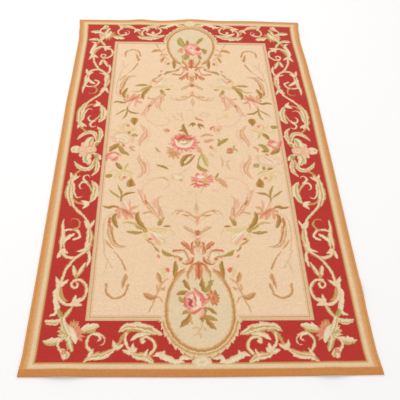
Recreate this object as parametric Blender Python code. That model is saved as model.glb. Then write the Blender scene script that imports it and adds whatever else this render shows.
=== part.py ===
"""Flat-woven oriental rug, three by five feet, lying on a floor.

The rug is one piece of cloth, so it is one solid: a thin slab whose outline wanders a few
millimetres, whose ends bow outwards, and whose edges lift off the floor in low ripples.
Its turned hem is part of the cloth and shows as the rounded rim. Units are metres, +Z is up,
+X runs across the rug and +Y along it, and the origin is under its middle, on the floor.
"""

from typing import NamedTuple

import bmesh
import bpy

# Driving dimensions
WIDTH = 0.914
LENGTH = 1.524
THICKNESS = 0.004
RIM_RADIUS = 0.0014
RIM_STEPS = 2
SPREAD = 0.30

# The grid that carries the shape: cells across and along, and how far they crowd to the edges
CELLS_ACROSS = 32
CELLS_ALONG = 52
CROWDING = 0.30

# The look of the cloth
WOOL_COLOUR = (0.62, 0.40, 0.22, 1.0)
WOOL_ROUGHNESS = 0.92


class Wander(NamedTuple):
    """How far an edge stands outside the true rectangle at a place along it."""

    along: float
    outset: float


class Ripple(NamedTuple):
    """A low wave where an edge lifts off the floor."""

    edge: str
    along: float
    half_length: float
    reach: float
    height: float


EDGE_WANDER = {
    "left": (
        Wander(-0.762, 0.003),
        Wander(-0.700, -0.001),
        Wander(-0.450, -0.002),
        Wander(0.000, -0.001),
        Wander(0.225, 0.000),
        Wander(0.450, -0.004),
        Wander(0.620, -0.006),
        Wander(0.700, -0.002),
        Wander(0.762, 0.004),
    ),
    "right": (
        Wander(-0.762, 0.003),
        Wander(-0.690, -0.002),
        Wander(-0.375, 0.000),
        Wander(0.000, 0.003),
        Wander(0.225, 0.004),
        Wander(0.450, 0.000),
        Wander(0.640, -0.006),
        Wander(0.700, -0.004),
        Wander(0.762, 0.004),
    ),
    "near": (
        Wander(-0.457, 0.000),
        Wander(-0.300, 0.001),
        Wander(0.000, 0.003),
        Wander(0.300, 0.002),
        Wander(0.457, 0.000),
    ),
    "far": (
        Wander(-0.457, 0.000),
        Wander(-0.300, 0.000),
        Wander(-0.205, 0.002),
        Wander(-0.125, 0.001),
        Wander(0.000, 0.007),
        Wander(0.120, 0.005),
        Wander(0.300, 0.004),
        Wander(0.457, 0.001),
    ),
}

RIPPLES = (
    Ripple("far", -0.205, 0.060, 0.050, 0.0045),
    Ripple("far", 0.015, 0.110, 0.075, 0.0050),
    Ripple("far", 0.250, 0.120, 0.050, 0.0020),
    Ripple("near", -0.345, 0.075, 0.060, 0.0055),
    Ripple("near", 0.325, 0.055, 0.065, 0.0060),
    Ripple("right", -0.520, 0.060, 0.045, 0.0040),
    Ripple("right", 0.690, 0.055, 0.040, 0.0035),
    Ripple("left", 0.690, 0.055, 0.040, 0.0030),
)


def fade(share):
    """1 at share 0, falling smoothly to 0 at share 1 and beyond."""
    share = min(abs(share), 1.0)
    return (1.0 - share) ** 2 * (1.0 + 2.0 * share)


def outset_of(rows, along):
    """The outset at a place along an edge, read smoothly between the rows of its table."""
    if along <= rows[0].along:
        return rows[0].outset
    for before, after in zip(rows, rows[1:]):
        if along <= after.along:
            share = (along - before.along) / (after.along - before.along)
            return after.outset + (before.outset - after.outset) * fade(share)
    return rows[-1].outset


def inside(x, y):
    """For each edge, how far a point lies in from it and its place along it."""
    return {
        "left": (x + WIDTH / 2, y),
        "right": (WIDTH / 2 - x, y),
        "near": (y + LENGTH / 2, x),
        "far": (LENGTH / 2 - y, x),
    }


def lift_of(ripple, place):
    """How high one ripple lifts a point, given its place from inside()."""
    depth, along = place[ripple.edge]
    return (
        ripple.height
        * fade((along - ripple.along) / ripple.half_length)
        * fade(depth / ripple.reach)
    )


def settled(x, y):
    """Where a point of the true rectangle comes to lie on the floor."""
    place = inside(x, y)
    push = {
        edge: outset_of(EDGE_WANDER[edge], along) * fade(depth / SPREAD)
        for edge, (depth, along) in place.items()
    }
    lift = sum(lift_of(ripple, place) for ripple in RIPPLES)
    return x + push["right"] - push["left"], y + push["far"] - push["near"], lift


def crowded(share):
    """Moves a station from -1..1 outwards, so that cells are smaller near the edges."""
    return share * (1.0 + CROWDING - CROWDING * share * share)


def underside_mesh():
    """The cloth's underside as a grid, shaped and then centred over the origin."""
    grid = bmesh.new()
    bmesh.ops.create_grid(
        grid, x_segments=CELLS_ACROSS, y_segments=CELLS_ALONG, size=1.0
    )
    for vertex in grid.verts:
        x = crowded(vertex.co.x) * WIDTH / 2
        y = crowded(vertex.co.y) * LENGTH / 2
        vertex.co = settled(x, y)
    xs = [vertex.co.x for vertex in grid.verts]
    ys = [vertex.co.y for vertex in grid.verts]
    centre = ((min(xs) + max(xs)) / 2, (min(ys) + max(ys)) / 2, 0.0)
    bmesh.ops.translate(grid, verts=grid.verts, vec=[-part for part in centre])
    mesh = bpy.data.meshes.new("rug")
    grid.to_mesh(mesh)
    grid.free()
    return mesh


def wool():
    """Flat-woven wool: matt, with no gloss."""
    material = bpy.data.materials.new("wool")
    material.use_nodes = True
    shader = material.node_tree.nodes["Principled BSDF"]
    shader.inputs["Base Color"].default_value = WOOL_COLOUR
    shader.inputs["Roughness"].default_value = WOOL_ROUGHNESS
    shader.inputs["Metallic"].default_value = 0.0
    return material


def rug():
    """The whole cloth: its underside, given its thickness upwards and a rounded hem."""
    cloth = bpy.data.objects.new("rug", underside_mesh())
    bpy.context.scene.collection.objects.link(cloth)
    cloth.data.materials.append(wool())

    body = cloth.modifiers.new("thickness", "SOLIDIFY")
    body.thickness = THICKNESS
    body.offset = 1.0

    hem = cloth.modifiers.new("hem", "BEVEL")
    hem.width = RIM_RADIUS
    hem.segments = RIM_STEPS
    hem.limit_method = "ANGLE"
    return cloth


for old in list(bpy.data.objects):
    bpy.data.objects.remove(old)
rug()
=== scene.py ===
"""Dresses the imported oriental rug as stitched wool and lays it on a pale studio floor.

The rug is one sheet of cloth. It is made here as two panels of the same weave, the field
and the border round it, and each is a closed slab with the outline and the low ripples of
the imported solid. A stitch chart, worked out motif by motif in millimetres on the flat
rectangle of the cloth, says how each half stitch is dyed.
"""

import logging
import math
from collections.abc import Iterable, Sequence
from dataclasses import dataclass, field
from enum import Enum
from typing import Protocol

import bpy
import numpy as np
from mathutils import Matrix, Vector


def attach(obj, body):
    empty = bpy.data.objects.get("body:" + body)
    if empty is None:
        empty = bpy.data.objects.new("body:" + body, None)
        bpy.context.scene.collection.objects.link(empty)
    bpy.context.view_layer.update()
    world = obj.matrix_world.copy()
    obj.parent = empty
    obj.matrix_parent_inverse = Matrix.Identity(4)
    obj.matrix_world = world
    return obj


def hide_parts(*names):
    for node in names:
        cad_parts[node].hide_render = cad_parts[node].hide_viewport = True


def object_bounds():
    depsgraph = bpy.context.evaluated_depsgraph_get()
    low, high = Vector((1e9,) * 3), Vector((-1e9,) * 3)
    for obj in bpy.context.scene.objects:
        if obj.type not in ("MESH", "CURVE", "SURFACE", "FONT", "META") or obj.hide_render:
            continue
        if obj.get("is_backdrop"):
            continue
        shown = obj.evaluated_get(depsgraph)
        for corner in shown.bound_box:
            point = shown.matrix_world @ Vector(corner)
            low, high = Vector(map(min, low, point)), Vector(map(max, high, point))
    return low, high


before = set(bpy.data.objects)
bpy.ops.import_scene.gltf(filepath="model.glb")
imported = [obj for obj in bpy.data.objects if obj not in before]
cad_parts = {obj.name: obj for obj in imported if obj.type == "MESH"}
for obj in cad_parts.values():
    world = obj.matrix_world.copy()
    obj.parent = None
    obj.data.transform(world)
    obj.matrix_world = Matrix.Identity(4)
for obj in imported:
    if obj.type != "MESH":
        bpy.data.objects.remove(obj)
CAD_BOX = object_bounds()

LOG = logging.getLogger("rug")

# Driving dimensions of the cloth, in metres
WIDTH = 0.914
LENGTH = 1.524
THICKNESS = 0.004
BORDER_ACROSS = 0.1522
BORDER_ALONG = 0.1503
RIM_RADIUS = 0.0014
MM = 0.001

Point = tuple[float, float]
Route = tuple[Point, ...]


def to_linear(hex_value: str) -> tuple[float, float, float]:
    """Turns an sRGB hex value to the linear colour that shaders work in.

    Args:
        hex_value: The colour as #RRGGBB.

    Returns:
        Linear red, green and blue from 0 to 1.
    """
    shares = (int(hex_value[at : at + 2], 16) / 255 for at in (1, 3, 5))
    return tuple(s / 12.92 if s <= 0.04045 else ((s + 0.055) / 1.055) ** 2.4 for s in shares)


class Yarn(Enum):
    """The wool yarns by their dye, each an sRGB hex value."""

    MADDER = "#BB3026"
    GOLD = "#DA9A5A"
    GOLD_DEEP = "#CD8646"
    GOLD_LIGHT = "#DFA467"
    # painted shade: the darker brown of the rug's rim and sides stands in for their shade
    HEM = "#B4763C"
    LINE = "#CF9F60"
    CREAM = "#E6CA9E"
    CREAM_LIGHT = "#EED8B2"
    SAND = "#CD9B5C"
    LICHEN = "#C3A965"
    STRIPE = "#E9CB9F"
    STRIPE_PINK = "#E4B98F"
    INNER_STRIPE = "#E1BB8F"
    GROUND = "#F1CFA9"
    OVAL = "#E7CEA6"
    FAINT = "#E7C49D"
    SHADOW = "#DDBB92"
    TAN = "#D7A26C"
    TAN_DEEP = "#C58849"
    TAN_FAINT = "#E0B68C"
    PEACH = "#E3A37A"
    PEACH_PALE = "#EAB792"
    RUST = "#D58A5C"
    RUST_DEEP = "#C6653D"
    CORAL = "#E27560"
    CORAL_DEEP = "#D4524A"
    ROSE = "#EC9C88"
    CRIMSON = "#BC4440"
    MAUVE = "#EBB599"
    MAUVE_FAINT = "#EEC3A2"
    PALE = "#F4DCBE"
    BROWN = "#BC8E48"
    BROWN_DEEP = "#A77A36"
    OLIVE = "#AE984C"
    STRAW = "#E6C991"
    STRAW_DEEP = "#DDBA7A"


class Shade(Enum):
    """The yarns that a stroke is worked in, from its left edge to its right edge."""

    IVORY = (Yarn.CREAM, Yarn.CREAM_LIGHT, Yarn.CREAM)
    PALE_LEAF = (Yarn.CREAM, Yarn.CREAM_LIGHT, Yarn.CREAM_LIGHT)
    LEAF_CREAM = (Yarn.CREAM, Yarn.CREAM_LIGHT, Yarn.LICHEN, Yarn.CREAM)
    IVORY_SAND = (Yarn.CREAM, Yarn.CREAM_LIGHT, Yarn.SAND)
    SAND_IVORY = (Yarn.SAND, Yarn.CREAM_LIGHT, Yarn.CREAM)
    SAND = (Yarn.SAND,)
    SAND_PINK = (Yarn.SAND, Yarn.MAUVE)
    STREAKED = (Yarn.CREAM, Yarn.CREAM_LIGHT, Yarn.SAND, Yarn.CREAM_LIGHT, Yarn.LICHEN)
    SAND_STREAKED = (Yarn.SAND, Yarn.CREAM, Yarn.SAND, Yarn.CREAM_LIGHT, Yarn.CREAM)
    IVORY_MOSS = (Yarn.CREAM_LIGHT, Yarn.CREAM, Yarn.LICHEN)
    MOSS_IVORY = (Yarn.LICHEN, Yarn.CREAM_LIGHT, Yarn.LICHEN)
    MOSS = (Yarn.LICHEN, Yarn.OLIVE)
    FAINT = (Yarn.FAINT,)
    SHADOW = (Yarn.SHADOW,)
    TAN = (Yarn.TAN,)
    TAN_FAINT = (Yarn.TAN_FAINT,)
    TAN_DEEP = (Yarn.TAN, Yarn.TAN_DEEP)
    DEEP_TAN = (Yarn.TAN_DEEP, Yarn.TAN)
    PEACH = (Yarn.PEACH,)
    PEACH_PALE = (Yarn.PEACH_PALE, Yarn.MAUVE_FAINT)
    PEACH_TAN = (Yarn.PEACH, Yarn.TAN)
    FEATHER = (Yarn.TAN, Yarn.MAUVE_FAINT, Yarn.PEACH)
    SCROLL = (Yarn.TAN_DEEP, Yarn.FAINT, Yarn.TAN)
    RUST_STREAKED = (Yarn.RUST_DEEP, Yarn.RUST, Yarn.PEACH_PALE)
    RUST = (Yarn.RUST, Yarn.PEACH)
    RUST_RIGHT = (Yarn.PEACH, Yarn.RUST)
    RUST_FULL = (Yarn.RUST, Yarn.RUST_DEEP)
    RUST_DEEP = (Yarn.RUST, Yarn.RUST_DEEP, Yarn.RUST)
    CORAL = (Yarn.CORAL, Yarn.ROSE)
    CORAL_FULL = (Yarn.CORAL,)
    CORAL_DEEP = (Yarn.CORAL, Yarn.CORAL_DEEP, Yarn.CORAL_DEEP)
    ROSE = (Yarn.ROSE,)
    ROSE_PALE = (Yarn.ROSE, Yarn.MAUVE, Yarn.MAUVE_FAINT)
    MAUVE = (Yarn.MAUVE,)
    MAUVE_FAINT = (Yarn.MAUVE_FAINT,)
    PALE = (Yarn.PALE, Yarn.MAUVE_FAINT)
    PALE_FULL = (Yarn.PALE,)
    PALE_WHITE = (Yarn.CREAM_LIGHT, Yarn.PALE)
    CRIMSON = (Yarn.CRIMSON,)
    BROWN = (Yarn.BROWN, Yarn.BROWN_DEEP)
    BROWN_BUD = (Yarn.BROWN, Yarn.BROWN_DEEP, Yarn.TAN_DEEP)
    OLIVE = (Yarn.OLIVE, Yarn.LICHEN)
    OLIVE_BROWN = (Yarn.OLIVE, Yarn.BROWN)
    OLIVE_LEAF = (Yarn.OLIVE, Yarn.LICHEN, Yarn.OLIVE)
    STRAW = (Yarn.STRAW,)
    STRAW_DEEP = (Yarn.STRAW, Yarn.STRAW_DEEP)
    STRAW_MOSS = (Yarn.STRAW_DEEP, Yarn.LICHEN)

    def colours(self) -> np.ndarray:
        """Gives the run of yarns as rows of linear colour."""
        return np.array([to_linear(yarn.value) for yarn in self.value])


class Taper(Enum):
    """How a stroke swells along its length, as powers of the share run and the share left."""

    LEAF = (0.75, 0.75)
    DROP = (0.35, 0.80)
    HORN = (1.10, 0.45)
    TAIL = (0.00, 0.55)
    EVEN = (0.00, 0.00)

    def profile(self, run: np.ndarray) -> np.ndarray:
        """Gives the share of the full width at each place along a stroke.

        Args:
            run: Places from 0 at the start to 1 at the end.

        Returns:
            The width there, from 0 to 1.
        """
        rise, fall = self.value
        run = np.clip(run, 0, 1)
        if rise + fall == 0:
            return np.ones_like(run)
        peak = rise / (rise + fall)
        return (run**rise * (1 - run) ** fall) / (peak**rise * (1 - peak) ** fall)


@dataclass
class Loom:
    """Where the stitches lie: coarse cells of the cloth, and the half stitches within them."""

    field_cells: tuple[int, int] = (52, 108)
    border_cells: int = 13
    stitches_a_cell: int = 4

    @property
    def cells(self) -> tuple[int, int]:
        """Counts the cells over the whole rug, across and along."""
        across, along = self.field_cells
        return across + 2 * self.border_cells, along + 2 * self.border_cells

    def stations(self, axis: int) -> np.ndarray:
        """Gives the cell edges along an axis, even in the field and even in each border.

        Args:
            axis: 0 for across the rug, 1 for along it.

        Returns:
            The places of the cell edges in metres, rising.
        """
        half = (WIDTH, LENGTH)[axis] / 2
        inner = half - (BORDER_ACROSS, BORDER_ALONG)[axis]
        side = np.linspace(inner, half, self.border_cells + 1)
        middle = np.linspace(-inner, inner, self.field_cells[axis] + 1)
        return np.concatenate((-side[:0:-1], middle, side[1:]))

    def half_stitches(self, axis: int) -> np.ndarray:
        """Gives the middle of each half stitch along an axis, in millimetres."""
        edges = self.stations(axis) / MM
        share = 2 * self.stitches_a_cell
        count = (len(edges) - 1) * share
        return np.interp((np.arange(count) + 0.5) / share, np.arange(len(edges)), edges)


def smooth_route(route: Route, step: float = 0.8) -> np.ndarray:
    """Draws one smooth curve through a few points.

    Args:
        route: The points, in millimetres.
        step: The spacing of the points given back.

    Returns:
        Points along the curve, one row each.
    """
    knots = np.array(route, dtype=float)
    padded = np.vstack((2 * knots[0] - knots[1], knots, 2 * knots[-1] - knots[-2]))
    spans = []
    for before, start, end, after in zip(padded, padded[1:], padded[2:], padded[3:]):
        count = max(3, math.ceil(math.dist(start, end) / step))
        t = np.linspace(0, 1, count, endpoint=False)[:, None]
        spans.append(
            start
            + 0.5 * t * (end - before)
            + 0.5 * t**2 * (2 * before - 5 * start + 4 * end - after)
            + 0.5 * t**3 * (3 * start - before - 3 * end + after)
        )
    return np.vstack((*spans, knots[-1]))


def step_up(low: float, high: float, value: np.ndarray) -> np.ndarray:
    """Rises smoothly from 0 at low to 1 at high."""
    share = np.clip((value - low) / (high - low), 0, 1)
    return share * share * (3 - 2 * share)


@dataclass
class Chart:
    """The dye of every half stitch, as linear colour under its own coverage."""

    across: np.ndarray
    along: np.ndarray
    dye: np.ndarray

    @classmethod
    def blank(cls, loom: Loom) -> "Chart":
        """Makes an empty chart for a loom."""
        across, along = loom.half_stitches(0), loom.half_stitches(1)
        return cls(across, along, np.zeros((len(along), len(across), 4)))

    @property
    def pitch(self) -> float:
        """Gives the spacing of half stitches, in millimetres."""
        return float(self.across[1] - self.across[0])

    def window(self, low: Sequence[float], high: Sequence[float]) -> tuple[slice, slice]:
        """Finds the rows and columns between two corners.

        Args:
            low: The lowest x and y, in millimetres.
            high: The highest x and y.

        Returns:
            Slices of rows and of columns.
        """
        columns = np.searchsorted(self.across, (low[0] - self.pitch, high[0] + self.pitch))
        rows = np.searchsorted(self.along, (low[1] - self.pitch, high[1] + self.pitch))
        return slice(*rows), slice(*columns)

    def places(self, window: tuple[slice, slice]) -> tuple[np.ndarray, np.ndarray]:
        """Gives the x and y of each half stitch in a window."""
        return np.meshgrid(self.across[window[1]], self.along[window[0]])

    def work(self, window: tuple[slice, slice], cover: np.ndarray, colour: np.ndarray) -> None:
        """Works a colour over what the chart holds.

        Args:
            window: The rows and columns to work.
            cover: How much of each half stitch is taken, from 0 to 1.
            colour: Linear colour, one for all or one for each half stitch.
        """
        cover = cover[..., None]
        held = self.dye[window]
        colour = np.broadcast_to(colour, (*held.shape[:2], 3))
        self.dye[window] = held * (1 - cover) + np.concatenate((colour, cover * 0 + 1), -1) * cover

    def mirror_sides(self) -> None:
        """Turns the left half over to the right."""
        half = len(self.across) // 2
        self.dye[:, half:] = self.dye[:, :half][:, ::-1]

    def mirror_ends(self, middle: float, still: Point) -> None:
        """Turns the near half over to the far end, about a line a little past the middle.

        Args:
            middle: How far the line lies past the true middle, in millimetres.
            still: Where that shift starts to fade, and where it is down to a third.
        """
        fading = step_up(*still, np.abs(self.along))
        line = middle * (1 - fading * 2 / 3)
        far = self.along > middle
        source = 2 * line[far] - self.along[far]
        rows = np.interp(source, self.along, np.arange(len(self.along)))
        low = np.floor(rows).astype(int)
        share = (rows - low)[:, None, None]
        self.dye[far] = self.dye[low] * (1 - share) + self.dye[low + 1] * share

    def loosen(self, chance: np.random.Generator, reach: float, grain: int) -> None:
        """Shifts the work a little this way and that, as stitches stray by hand.

        Args:
            chance: The source of random numbers.
            reach: How far a stitch strays, in millimetres.
            grain: Over how many half stitches the straying changes.
        """
        count = self.dye.shape[:2]
        source = []
        for axis in (0, 1):
            rough = chance.normal(size=[size // grain + 2 for size in count])
            down, over = (np.arange(size) / grain for size in count)
            low, left = down.astype(int), over.astype(int)
            share, side = (down - low)[:, None], (over - left)[None, :]
            rows = rough[low] * (1 - share) + rough[low + 1] * share
            stray = rows[:, left] * (1 - side) + rows[:, left + 1] * side
            stray = stray * reach / self.pitch + chance.uniform(-0.4, 0.4, count)
            place = np.arange(count[axis]).reshape((-1, 1) if axis == 0 else (1, -1))
            source.append(np.clip(np.rint(place + stray), 0, count[axis] - 1).astype(int))
        self.dye = self.dye[source[0], source[1]]

    def lay(self, upper: "Chart") -> None:
        """Lays another chart over this one."""
        self.dye = self.dye * (1 - upper.dye[..., 3:]) + upper.dye


class Motif(Protocol):
    """Anything that can be worked into a chart."""

    def work(self, chart: Chart) -> None:
        """Works the motif into a chart."""


@dataclass(frozen=True)
class Blade:
    """A stem, leaf, petal or scroll: stitches along one smooth curve that swells and tapers.

    With lobes, each side of it is cut into that many points that lean towards its end.
    """

    route: Route
    width: float
    shade: Shade
    taper: Taper = Taper.LEAF
    lobes: int = 0

    def work(self, chart: Chart) -> None:
        """Works the stroke, its yarns side by side across its width."""
        path = smooth_route(self.route)
        lengths = np.linalg.norm(np.diff(path, axis=0), axis=1)
        run = np.concatenate(([0.0], np.cumsum(lengths))) / lengths.sum()
        half = self.width / 2 * self.taper.profile(run)
        tangent = np.gradient(path, axis=0)
        tangent /= np.linalg.norm(tangent, axis=1, keepdims=True)

        spare = self.width / 2
        window = chart.window(path.min(0) - spare, path.max(0) + spare)
        x, y = chart.places(window)
        if not x.size:
            return
        dx, dy = x[..., None] - path[:, 0], y[..., None] - path[:, 1]
        nearest = (dx**2 + dy**2).argmin(-1)
        away = np.stack((x, y), -1) - path[nearest]
        side = away[..., 0] * tangent[nearest][..., 1] - away[..., 1] * tangent[nearest][..., 0]
        distance = np.linalg.norm(away, axis=-1)
        reach = half[nearest]
        if self.lobes:
            tooth = (run[nearest] * self.lobes + np.where(side > 0, 0.5, 0.0)) % 1
            reach = reach * (0.78 + 0.34 * tooth)
        cover = np.clip((reach - distance) / chart.pitch + 0.5, 0, 1)

        yarns = self.shade.colours()
        across = np.clip(0.5 + 0.5 * side / np.maximum(reach, 0.1), 0, 1) * len(yarns) - 0.5
        chart.work(window, cover, banded(yarns, across))


def banded(yarns: np.ndarray, across: np.ndarray, softness: float = 0.35) -> np.ndarray:
    """Reads yarns that lie side by side, with a short change from each to the next.

    Args:
        yarns: Linear colours, one row each.
        across: Where to read, 0 at the middle of the first yarn and 1 at the next.
        softness: The share of a yarn's width that the change takes.

    Returns:
        A colour for each place.
    """
    across = np.clip(across, 0, len(yarns) - 1)
    low = np.minimum(np.floor(across).astype(int), max(len(yarns) - 2, 0))
    share = np.clip((across - low - 0.5) / softness + 0.5, 0, 1)[..., None]
    high = np.minimum(low + 1, len(yarns) - 1)
    return yarns[low] * (1 - share) + yarns[high] * share


@dataclass(frozen=True)
class Fan:
    """Blades that spread from one root: a calyx's prongs, a spray's leaves or a flower's rays."""

    root: Point
    rays: tuple[Point, ...]
    width: float
    shade: Shade
    taper: Taper = Taper.DROP
    bow: float = 0.0

    def work(self, chart: Chart) -> None:
        """Works each ray, bowed to one side by a share of its reach."""
        x, y = self.root
        for angle, reach in self.rays:
            away = math.radians(angle)
            ahead = (math.cos(away), math.sin(away))
            middle = (
                x + reach * (0.5 * ahead[0] - self.bow * ahead[1]),
                y + reach * (0.5 * ahead[1] + self.bow * ahead[0]),
            )
            tip = (x + reach * ahead[0], y + reach * ahead[1])
            Blade((self.root, middle, tip), self.width, self.shade, self.taper).work(chart)


@dataclass(frozen=True)
class Patch:
    """A filled oval, such as a berry, a bud or a flower's heart, in yarns from rim to middle."""

    centre: Point
    radii: Point
    shade: Shade
    turn: float = 0.0

    def work(self, chart: Chart) -> None:
        """Works the oval."""
        reach = max(self.radii)
        centre = np.array(self.centre)
        window = chart.window(centre - reach, centre + reach)
        x, y = chart.places(window)
        cos, sin = math.cos(math.radians(self.turn)), math.sin(math.radians(self.turn))
        dx, dy = x - centre[0], y - centre[1]
        along, over = dx * cos + dy * sin, dy * cos - dx * sin
        level = np.hypot(along / self.radii[0], over / self.radii[1])
        cover = np.clip((1 - level) * min(self.radii) / chart.pitch + 0.5, 0, 1)
        yarns = self.shade.colours()
        chart.work(window, cover, banded(yarns, (1 - level) * len(yarns) - 0.5))


@dataclass(frozen=True)
class Bloom:
    """An open flower: a ring of petals, longer and shorter in turn, round a heart."""

    centre: Point
    reach: float
    petals: int
    shade: Shade
    heart: Shade
    heart_share: float = 0.35
    squash: float = 1.0
    turn: float = 0.0
    ragged: float = 0.0
    overlap: float = 1.68

    def work(self, chart: Chart) -> None:
        """Works the petals and then the heart over their roots."""
        x, y = self.centre
        width = self.overlap * math.pi * self.reach / self.petals
        for number in range(self.petals):
            away = math.radians(self.turn + 360 * number / self.petals)
            reach = self.reach * (1 - self.ragged * (number % 2))
            tip = (x + reach * math.cos(away), y + reach * self.squash * math.sin(away))
            route = (tip, ((x + tip[0]) / 2, (y + tip[1]) / 2), self.centre)
            Blade(route, width, self.shade, Taper.DROP).work(chart)
        heart = self.reach * self.heart_share
        Patch(self.centre, (heart, heart * self.squash), self.heart).work(chart)


@dataclass(frozen=True)
class Stripe:
    """One of the bands that follow the rug's edge, by the depth where it starts."""

    start: float
    yarn: Yarn


@dataclass(frozen=True)
class Surround:
    """The plain bands that frame the rug, mitred at the corners, with painted shade on the rim and sides
    and along the near end.
    """

    stripes: tuple[Stripe, ...] = (
        # painted shade: darker brown over the rim, the sides and a sliver of the outermost row
        Stripe(-9.0, Yarn.HEM),
        Stripe(0.5, Yarn.GOLD),
        Stripe(6.0, Yarn.GOLD_DEEP),
        Stripe(7.5, Yarn.GOLD),
        Stripe(12.5, Yarn.GOLD_LIGHT),
        Stripe(18.5, Yarn.STRIPE_PINK),
        Stripe(22.0, Yarn.STRIPE),
        Stripe(31.5, Yarn.LINE),
        Stripe(36.0, Yarn.MADDER),
        Stripe(150.5, Yarn.INNER_STRIPE),
        Stripe(157.5, Yarn.STRIPE),
        Stripe(159.6, Yarn.TAN_DEEP),
        Stripe(162.2, Yarn.GROUND),
        Stripe(165.0, Yarn.TAN_FAINT),
        Stripe(166.8, Yarn.GROUND),
    )
    # where the painted shade along the near end begins, in millimetres
    near_shade_edge: float = -742.5

    def work(self, chart: Chart) -> None:
        """Works every band over the whole chart."""
        window = (slice(None), slice(None))
        x, y = chart.places(window)
        depth = np.minimum(WIDTH / 2 / MM - np.abs(x), LENGTH / 2 / MM - np.abs(y))
        for stripe in self.stripes:
            cover = np.clip((depth - stripe.start) / chart.pitch + 0.5, 0, 1)
            chart.work(window, cover, np.array(to_linear(stripe.yarn.value)))
        # painted shade: the outer gold of the near end is darker, as the light falls less there
        near = np.clip((self.near_shade_edge - y) / chart.pitch + 0.5, 0, 1)
        chart.work(window, near, np.array(to_linear(Yarn.GOLD_DEEP.value)))


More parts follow.
